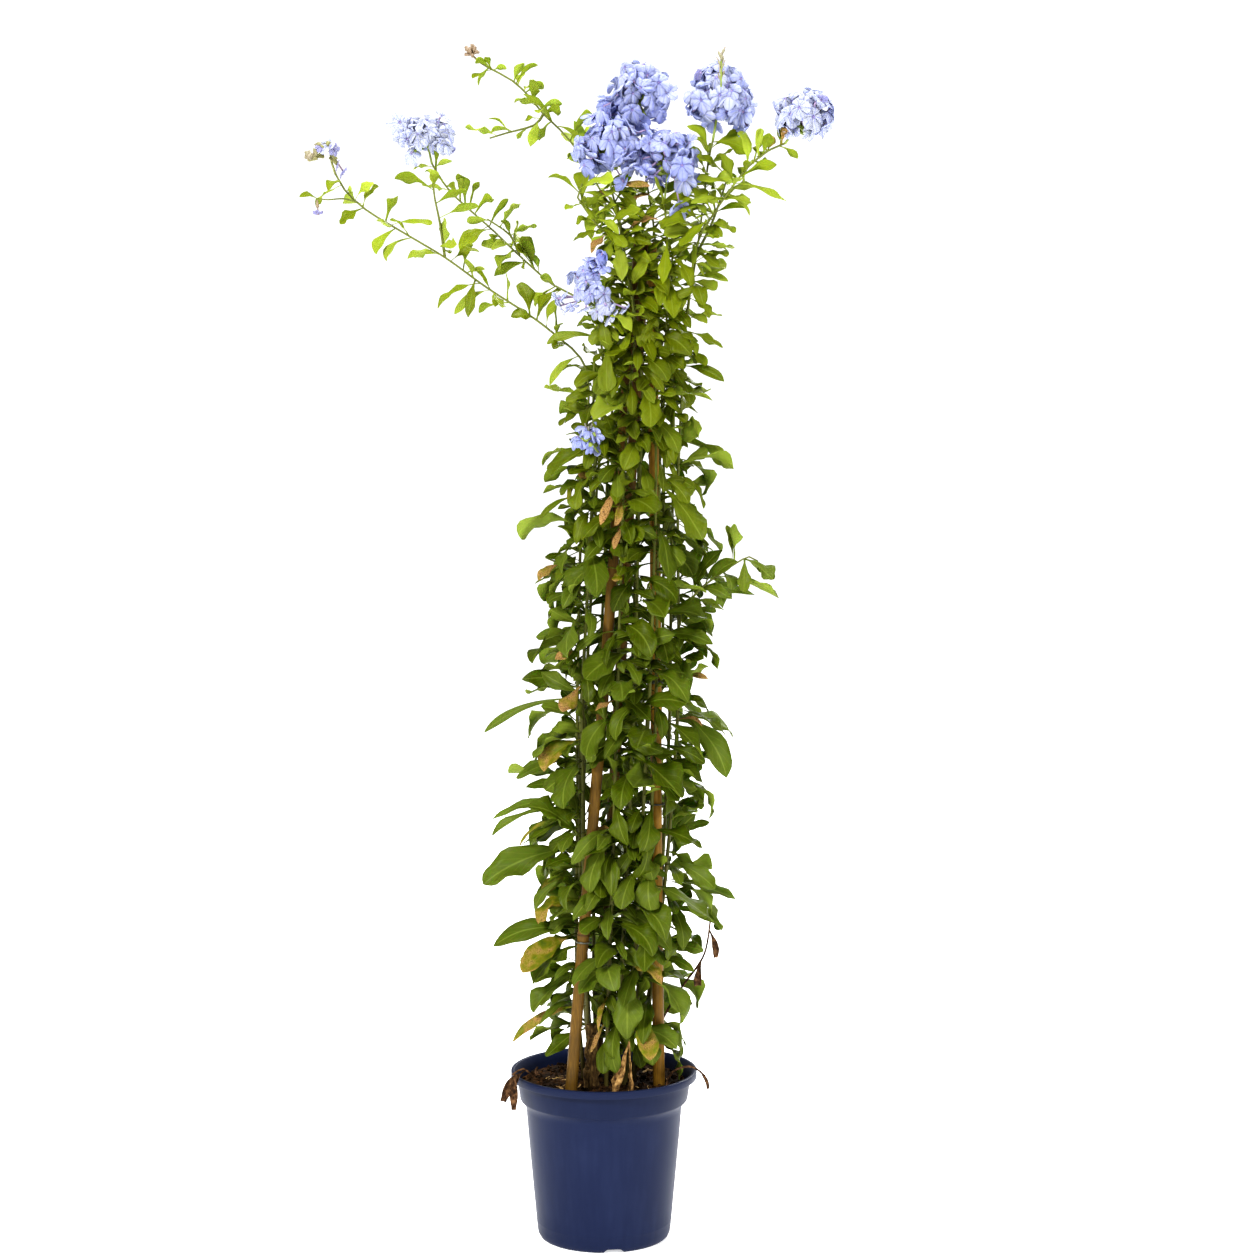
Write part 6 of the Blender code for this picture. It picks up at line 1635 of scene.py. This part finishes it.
def potMaterial():
    # moulded polypropylene: satin skin with a faint orange peel, scuffed paler on the rim and seams, and
    # painted shade on its collar
    plastic, add, coords = startMaterial("potPolypropylene", {"IOR": 1.49, "Specular IOR Level": 0.1})
    cloud = add("TexNoise", {"Vector": coords, "Scale": 22.0, "Detail": 5.0})
    streak = add("Mapping", {"Vector": coords, "Scale": (1.0, 1.0, 0.08)})
    streak = add("TexNoise", {"Vector": streak, "Scale": 160.0, "Detail": 3.0})
    scuff = add("Math", {"operation": "MULTIPLY", 0: cloud, 1: streak})
    scuff = add("MapRange", {"Value": scuff, "From Min": 0.2, "From Max": 0.5, "To Max": 0.45})
    edge = add("NewGeometry", {}, "Pointiness")
    edge = add("MapRange", {"Value": edge, "From Min": 0.52, "From Max": 0.6, "To Max": 0.5})
    worn = add("Math", {"operation": "MAXIMUM", 0: scuff, 1: edge})
    tone = add("Mix", {"data_type": "RGBA", 0: worn, 6: potLook["colour"], 7: potLook["worn"]}, 2)
    height = add("SeparateXYZ", {"Vector": coords}, "Z")
    # painted shade: the collar, from 129 mm up, is darker
    collarShade = add("MapRange", {"Value": height, "From Min": 125 * mm, "From Max": 129 * mm, "To Min": 1.0,
                              "To Max": potLook["collarPaintedShade"]})
    tone = add("HueSaturation", {"Value": collarShade, "Color": tone})
    rough = add("MapRange", {"Value": cloud, "To Min": 0.34, "To Max": 0.5})
    # the peel is really about 0.3 mm across: drawn at 1 mm, so that it shows
    peel = add("TexNoise", {"Vector": coords, "Scale": 1000.0, "Detail": 1.0})
    bump = add("Bump", {"Strength": 0.12, "Distance": 0.1 * mm, "Height": peel})
    return finishMaterial(plastic, {"Base Color": tone, "Roughness": rough, "Normal": bump})


def makePot():
    shape = bmesh.new()
    spinProfile(shape, potLook["inner"] + potLook["outer"], potLook["steps"])
    for vert in shape.verts:
        # drain notches: the foot ring is arched up
        flat = math.hypot(vert.co.x, vert.co.y)
        if flat > 53 * mm and vert.co.z < 4 * mm:
            angle = math.atan2(vert.co.y, vert.co.x) + math.pi / 2 - potLook["notchTurn"]
            off = abs(math.remainder(angle, math.tau / potLook["notches"]))
            if off < potLook["notchHalf"]:
                arch = min(1.0, 2.5 * (1 - off / potLook["notchHalf"]))
                vert.co.z = max(vert.co.z, potLook["notchHeight"] * arch)
    piece = finishPiece("potShell", shape, [potMaterial()], "pot", "pot")
    piece.data.set_sharp_from_angle(angle=math.radians(40))


makePot()
print("pot done")


# Dry things: straw, bark and withered leaves have one kind of skin.

dryLooks = {
    # roughness, gloss, size of the grain in mm, its detail, how it is squeezed along Z, height of its relief
    # in mm and how strong it is, and the tones from the hollows out
    # dry stalk: pale, fibrous and dull
    "straw": (0.8, 0.5, 2.0, 3.0, 1.0, 0.3, 0.4, (("#6d4d2c", 0.35), ("#b8975c", 0.6), ("#d8c08a", 0.8))),
    # woody stub: furrowed bark with pale flakes
    "crownBark": (0.9, 0.3, 2.5, 6.0, 0.3, 1.0, 0.9, (("#24190c", 0.3), ("#57411f", 0.5), ("#94794a", 0.72))),
    # withered leaf: papery and brown, wrinkled along its veins
    "deadLeafDark": (0.85, 0.15, 1 / 0.26, 5.0, 1.0, 0.8, 0.9,
                     (("#1e130b", 0.32), ("#46301d", 0.5), ("#75563a", 0.7))),
    # the same, bleached to tan
    "deadLeafPapery": (0.85, 0.15, 1 / 0.26, 5.0, 1.0, 0.8, 0.9,
                       (("#3d2a18", 0.32), ("#7d5f36", 0.48), ("#a58452", 0.66))),
}


def dryMaterial(name):
    rough, gloss, grain, detail, squeeze, relief, strength, tones = dryLooks[name]
    dull, add, coords = startMaterial(name, {"Roughness": rough, "Specular IOR Level": gloss})
    if squeeze < 1:
        coords = add("Mapping", {"Vector": coords, "Scale": (1.0, 1.0, squeeze)})
    fibre = add("TexNoise", {"Vector": coords, "Scale": 1 / (grain * mm), "Detail": detail})
    tone = add("ValToRGB", {"Fac": fibre, "stops": tones})
    bump = add("Bump", {"Strength": strength, "Distance": relief * mm, "Height": fibre})
    return finishMaterial(dull, {"Base Color": tone, "Normal": bump})


# Soil: dark peat compost, moist and crumbly, with bits of bark, straw and a few white grains.

soilLook = {
    "peat": (("#140e06", 0.3), ("#2c1e10", 0.5), ("#4c331b", 0.72)),
    "rise": 2.2,  # how much higher its middle lies, in mm
    "rough": 2.4 * mm,
    "crumbs": 420,
    "crumbSize": (0.8, 2.6),  # in mm
    "straws": 26,
    "strawLength": (6, 19),
    "sides": 110,
    # outer face from the edge of the top down: radius and height
    "outer": ((74.6, 143.2), (75.6, 141.6), (73.9, 130), (68.4, 120), (59.2, 12.5), (56.6, 5), (0, 5)),
}


def soilTop(across, deep):
    flat = math.hypot(across, deep)
    spot = Vector((across, deep, 0.31))
    height = soil["top"] + soilLook["rise"] * mm * max(0.0, 1 - flat / (70 * mm))
    return height + soilLook["rough"] * (noise.noise(spot * 90) * 0.6 + noise.noise(spot * 260) * 0.5)


def soilMaterial():
    # moist peat: matt and almost black in the hollows, reddish brown crumbs of bark on top
    peat, add, coords = startMaterial("soilPeatCompost", {"Specular IOR Level": 0.06})
    crumb = add("TexVoronoi", {"Vector": coords, "Scale": 330.0}, None)
    cloud = add("TexNoise", {"Vector": coords, "Scale": 120.0, "Detail": 6.0})
    tone = add("ValToRGB", {"Fac": cloud, "stops": soilLook["peat"]})
    shade = add("SeparateColor", {"Color": crumb["Color"]})
    bright = add("MapRange", {"Value": shade, "To Min": 0.55, "To Max": 1.5})
    tone = add("HueSaturation", {"Value": bright, "Color": tone})
    rough = add("MapRange", {"Value": cloud, "To Min": 0.95, "To Max": 0.7})
    height = add("Math", {"operation": "SUBTRACT", 0: cloud, 1: crumb["Distance"]})
    bump = add("Bump", {"Strength": 0.9, "Distance": 1.2 * mm, "Height": height})
    return finishMaterial(peat, {"Base Color": tone, "Roughness": rough, "Normal": bump})


def makeSoil():
    shape = bmesh.new()
    rings = [(2.2 * step, 144) for step in range(34)]  # close enough together for the lumps
    spinProfile(shape, (*rings, *soilLook["outer"]), soilLook["sides"])
    for vert in shape.verts:
        if vert.co.z > 143.5 * mm:
            vert.co.z = soilTop(vert.co.x, vert.co.y)
    draw = random.Random("crumbs")
    for _ in range(soilLook["crumbs"]):
        flat, angle = 74 * mm * math.sqrt(draw.random()), draw.uniform(0, math.tau)
        across, deep = flat * math.cos(angle), flat * math.sin(angle)
        size = draw.uniform(*soilLook["crumbSize"]) * mm
        sizes = Vector([size * draw.uniform(0.6, 1.3) for _ in range(3)])
        turn = anyWay(draw).to_track_quat("Z", "Y")
        place = Vector((across, deep, soilTop(across, deep) + size * 0.25))
        made = bmesh.ops.create_icosphere(shape, subdivisions=1, radius=1.0,
                                          matrix=Matrix.LocRotScale(place, turn, sizes))["verts"]
        for vert in made:
            vert.co += (vert.co - place) * draw.uniform(-0.3, 0.3)
    piece = finishPiece("soilPeat", shape, [soilMaterial()], "soil", "soil")
    piece.data.set_sharp_from_angle(angle=math.radians(50))


def makeLitter():
    # straw, root fibres and bark slivers lying on the soil
    shape = bmesh.new()
    draw = random.Random("litter")
    for _ in range(soilLook["straws"]):
        flat, angle = 68 * mm * math.sqrt(draw.random()), draw.uniform(0, math.tau)
        across, deep = flat * math.cos(angle), flat * math.sin(angle)
        heading, bend = draw.uniform(0, math.tau), draw.uniform(-0.9, 0.9)
        length = draw.uniform(*soilLook["strawLength"]) * mm
        path = []
        for step in range(6):
            share = step / 5
            path.append(Vector((across, deep, soilTop(across, deep) + 0.8 * mm)))
            across += math.cos(heading + bend * share) * length / 5
            deep += math.sin(heading + bend * share) * length / 5
            if math.hypot(across, deep) > 74 * mm:
                break
        if len(path) > 2:
            thick = draw.uniform(0.3, 0.9) * mm
            growTube(shape, path, [thick] * (len(path) - 1) + [thick * 0.4], 5)
    finishPiece("soilLitter", shape, [dryMaterial("straw")], "dead_leaf", closed=True)


makeSoil()
makeLitter()
print("soil done")


# Canes: three bamboo canes, thin and round, with a raised knuckle at each joint.

caneLook = {
    "skin": (("#33240a", 0.25), ("#5b4211", 0.5), ("#82601c", 0.85)),
    "knuckle": "#33200f",
    # painted light and shade: each cane's brightness, the right one lighter and the back one darker, for how
    # the light falls on it
    "tone": {"cane_left": 0.9, "cane_right": 2.0, "cane_back": 0.8},
    "grain": 0.9 * mm,
    "sunk": 19,  # mm below the soil
    "sides": 16,
    # mm from the middle of a joint, how it swells and how dark it is
    "joint": ((-5, 1.0, 0), (-2, 1.06, 0.2), (-0.7, 1.12, 0.6), (0, 1.02, 1.0), (0.7, 1.13, 0.7),
              (2.2, 1.05, 0.2), (5, 1.0, 0)),
}


def caneMaterial():
    # bamboo: hard glossy skin with long fine fibres, weathered, darker at the knuckles, a little paler higher
    # up than at the foot
    bamboo, add, coords = startMaterial("caneBamboo", {"IOR": 1.5, "Specular IOR Level": 0.2})
    height = add("SeparateXYZ", {"Vector": coords}, "Z")
    stretched = add("Mapping", {"Vector": coords, "Scale": (1.0, 1.0, 0.03)})
    grain = add("TexNoise", {"Vector": stretched, "Scale": 1 / caneLook["grain"], "Detail": 4.0})
    stain = add("TexNoise", {"Vector": coords, "Scale": 35.0, "Detail": 4.0})
    lowDown = add("MapRange", {"Value": height, "From Min": 0.45, "From Max": 0.16, "To Min": 0.06,
                               "To Max": 0.0})
    share = add("Math", {"operation": "MULTIPLY_ADD", 0: grain, 1: 0.5, 2: lowDown})
    share = add("Math", {"operation": "MULTIPLY_ADD", 0: stain, 1: 0.5, 2: share})
    tone = add("ValToRGB", {"Fac": share, "stops": caneLook["skin"]})
    # painted light and shade: each cane's brightness comes from its tone
    bright = add("Attribute", {"attribute_name": "tone"}, "Fac")
    tone = add("HueSaturation", {"Value": bright, "Color": tone})
    joint = add("Attribute", {"attribute_name": "joint"}, "Fac")
    joint = add("Math", {"operation": "MULTIPLY", 0: joint, 1: 0.8})
    tone = add("Mix", {"data_type": "RGBA", 0: joint, 6: tone, 7: caneLook["knuckle"]}, 2)
    rough = add("MapRange", {"Value": stain, "To Min": 0.35, "To Max": 0.6})
    bump = add("Bump", {"Strength": 0.35, "Distance": 0.3 * mm, "Height": grain})
    return finishMaterial(bamboo, {"Base Color": tone, "Roughness": rough, "Normal": bump})


def makeCane(name, material):
    start, end = caneLine(name)
    lean = (end - start).normalized()
    foot = start - lean * caneLook["sunk"] * mm
    length = (end - foot).length
    stops = [(0.0, 1.0, 0.0), (1.0, 0.94, 0.0)]
    for share in [0.05 * step for step in range(1, 20)]:
        if min(abs(share - knuckle) for knuckle in canes["knuckles"]) > 0.012:
            stops.append((share, 1.0, 0.0))
    for knuckle in canes["knuckles"]:
        for off, swell, dark in caneLook["joint"]:
            stops.append((knuckle + off * mm / length, swell, dark))
    stops.sort()
    shape = bmesh.new()
    joint, tone = (shape.verts.layers.float.new(layer) for layer in ("joint", "tone"))
    path, radii = [], []
    for share, swell, dark in stops:
        bow = Vector((math.sin(share * 9 + start.x * 300), math.cos(share * 7 + start.y * 300), 0)) * 0.5 * mm
        path.append(foot.lerp(end, share) + bow)
        radii.append((canes["radius"][0] + (canes["radius"][1] - canes["radius"][0]) * share) * swell)
    made = growTube(shape, path, radii, caneLook["sides"])
    for index, vert in enumerate(made):
        vert[joint] = stops[index // caneLook["sides"]][2]
        vert[tone] = caneLook["tone"][name]
    piece = finishPiece("bamboo_" + name, shape, [material], "cane", name, closed=True)
    piece.data.set_sharp_from_angle(angle=math.radians(60))


bamboo = caneMaterial()
for name in canes["lines"]:
    makeCane(name, bamboo)
print("canes done")


# Ties: thin plastic-coated wire, twisted at its ends.

tieLook = {
    "colour": "#2c2f26",
    "worn": "#6a6a5c",
    "end": 7,  # how far the wound ends stand off, in mm
    "windings": 9,  # how far they are wound, in radians
    "spin": (-2.4, -0.9),  # which way the ends may point
}


def tieMaterial():
    # plastic-coated garden wire: smooth, dark green-black, dusty
    wire, add, coords = startMaterial("tieCoatedWire", {"Roughness": 0.45})
    dust = add("TexNoise", {"Vector": coords, "Scale": 300.0, "Detail": 4.0})
    dust = add("MapRange", {"Value": dust, "From Min": 0.45, "From Max": 0.75})
    tone = add("Mix", {"data_type": "RGBA", 0: dust, 6: tieLook["colour"], 7: tieLook["worn"]}, 2)
    return finishMaterial(wire, {"Base Color": tone})


def makeTie(name, place, lean, radius, thick, material):
    shape = bmesh.new()
    turn = lean.to_track_quat("Z", "Y").to_matrix().to_4x4()
    placed = Matrix.Translation(place) @ turn
    start = Matrix.Translation((radius, 0, 0)) @ Matrix.Rotation(math.pi / 2, 4, "X")
    ring = bmesh.ops.create_circle(shape, cap_ends=False, segments=8, radius=thick, matrix=start)
    edges = list({edge for vert in ring["verts"] for edge in vert.link_edges})
    bmesh.ops.spin(shape, geom=ring["verts"] + edges, cent=(0, 0, 0), axis=(0, 0, 1), angle=math.tau,
                   steps=36, use_merge=True)
    bmesh.ops.remove_doubles(shape, verts=shape.verts, dist=0.01 * mm)
    draw = random.Random(name)
    for side in (0, math.pi):
        # the two ends are wound round each other and stick out
        path = []
        for step in range(13):
            share = step / 12
            angle = side + share * tieLook["windings"]
            coil = Vector((0, math.cos(angle), math.sin(angle))) * thick * (1.1 + share * 0.4)
            path.append(Vector((radius + share * tieLook["end"] * mm, -share * 2 * mm, 0)) + coil)
        growTube(shape, path, [thick * 0.8] * len(path), 6)
    spin = Matrix.Rotation(draw.uniform(*tieLook["spin"]), 4, "Z")
    bmesh.ops.transform(shape, matrix=placed @ spin, verts=shape.verts)
    finishPiece("wire_" + name, shape, [material], "wire", name, closed=True)


coatedWire = tieMaterial()
for name, (place, lean, radius, thick) in tiePlaces().items():
    makeTie(name, place, lean, radius, thick, coatedWire)
print("ties done")


# Crown and dead growth: rough grey-brown bark, dry stalks and curled brown leaves.

crownLook = {
    "heights": range(131, 206, 3),  # in mm, from inside the soil to the top
    "narrowing": 0.4,
    "swells": (0.12, 21),  # how strong and how close together
    "knots": ((160, 0.5), (420, 0.22)),  # how fine and how deep
    # cut stubs of old shoots: turn round the crown, height and length
    "stubs": ((0.4, 168, 9), (2.3, 180, 8), (4.1, 158, 10), (5.3, 190, 7)),
    "stubRadii": (2.6 * mm, 2.2 * mm, 2.3 * mm, 1.9 * mm),
}


def makeCrown():
    shape = bmesh.new()
    base = metres((*crown["place"], 0))
    path = [base + Vector((0, 0, height * mm)) for height in crownLook["heights"]]
    swell, closeness = crownLook["swells"]
    radii = []
    for spot in path:
        share = (spot.z - path[0].z) / (path[-1].z - path[0].z)
        narrowed = crown["radius"] * (1 - crownLook["narrowing"] * share)
        radii.append(narrowed * (1 + swell * math.sin(share * closeness)))
    growTube(shape, path, radii, 20)
    for vert in shape.verts:
        off = vert.co - base
        off.z = 0
        vert.co += off * sum(noise.noise(vert.co * fine) * deep for fine, deep in crownLook["knots"])
    for angle, height, reach in crownLook["stubs"]:
        out = Vector((math.cos(angle), math.sin(angle), 0.9)).normalized()
        start = base + Vector((0, 0, height * mm))
        path = [start + out * reach * mm * share for share in (0, 0.5, 0.9, 1.0)]
        growTube(shape, path, crownLook["stubRadii"], 8)
    finishPiece("crownStub", shape, [dryMaterial("crownBark")], "bark", "crown", closed=True)


deadLook = {
    "roll": {"dead_leaf_front": 2.0},  # how far a withered leaf is rolled in along its rib
    "usualRoll": 1.1,
    "thick": 0.4 * mm,
}


def makeDeadGrowth(name, material):
    shape = bmesh.new()
    path = smoothRoute(deadRoute(name), 4 * mm)
    growTube(shape, path, taper(path, deadGrowth["radius"]), 7)
    finishPiece("dryStalk_" + name, shape, [material], "dead_leaf", name, closed=True)
    curled = bmesh.new()
    usual = deadLook["usualRoll"]
    roll = deadLook["roll"].get(name, usual)
    draw = random.Random("withered " + name)
    for blade in witheredBlades(name):
        grid = bmesh.ops.create_grid(curled, x_segments=6, y_segments=12, size=1.0)
        folds = draw.uniform(0, 6)
        for vert in grid["verts"]:
            side, row = -vert.co.x, (vert.co.y + 1) / 2
            place, sideways, normal = blade.frame(row)
            place += sideways * math.sin(row * 9 + folds) * row * blade.length * 0.05 * (roll - 1.0)
            half = blade.halfWidth(min(row, 0.93)) * (1 + (roll - usual) * 0.35 * math.sin(row * 17 + folds))
            angle = side * (roll + 0.5 * math.sin(row * 4 + folds))
            wrinkle = noise.noise(Vector((side * 2, row * 5, folds)) * 1.6) * 0.5
            turn = (roll - usual) * 2.4 * row
            across, up = math.sin(angle), 1 - math.cos(angle) + wrinkle
            vert.co = place + sideways * (across * math.cos(turn) - up * math.sin(turn)) * half
            vert.co += normal * (across * math.sin(turn) + up * math.cos(turn)) * half
    dry = finishPiece("dryLeaves_" + name, curled, [material], "dead_leaf")
    thicken(dry, "Leaf thickness", deadLook["thick"])


makeCrown()
dark, tan = dryMaterial("deadLeafDark"), dryMaterial("deadLeafPapery")
for name in deadGrowth["stems"]:
    makeDeadGrowth(name, tan if name == "dead_leaf_front" else dark)
print("crown and dead growth done")
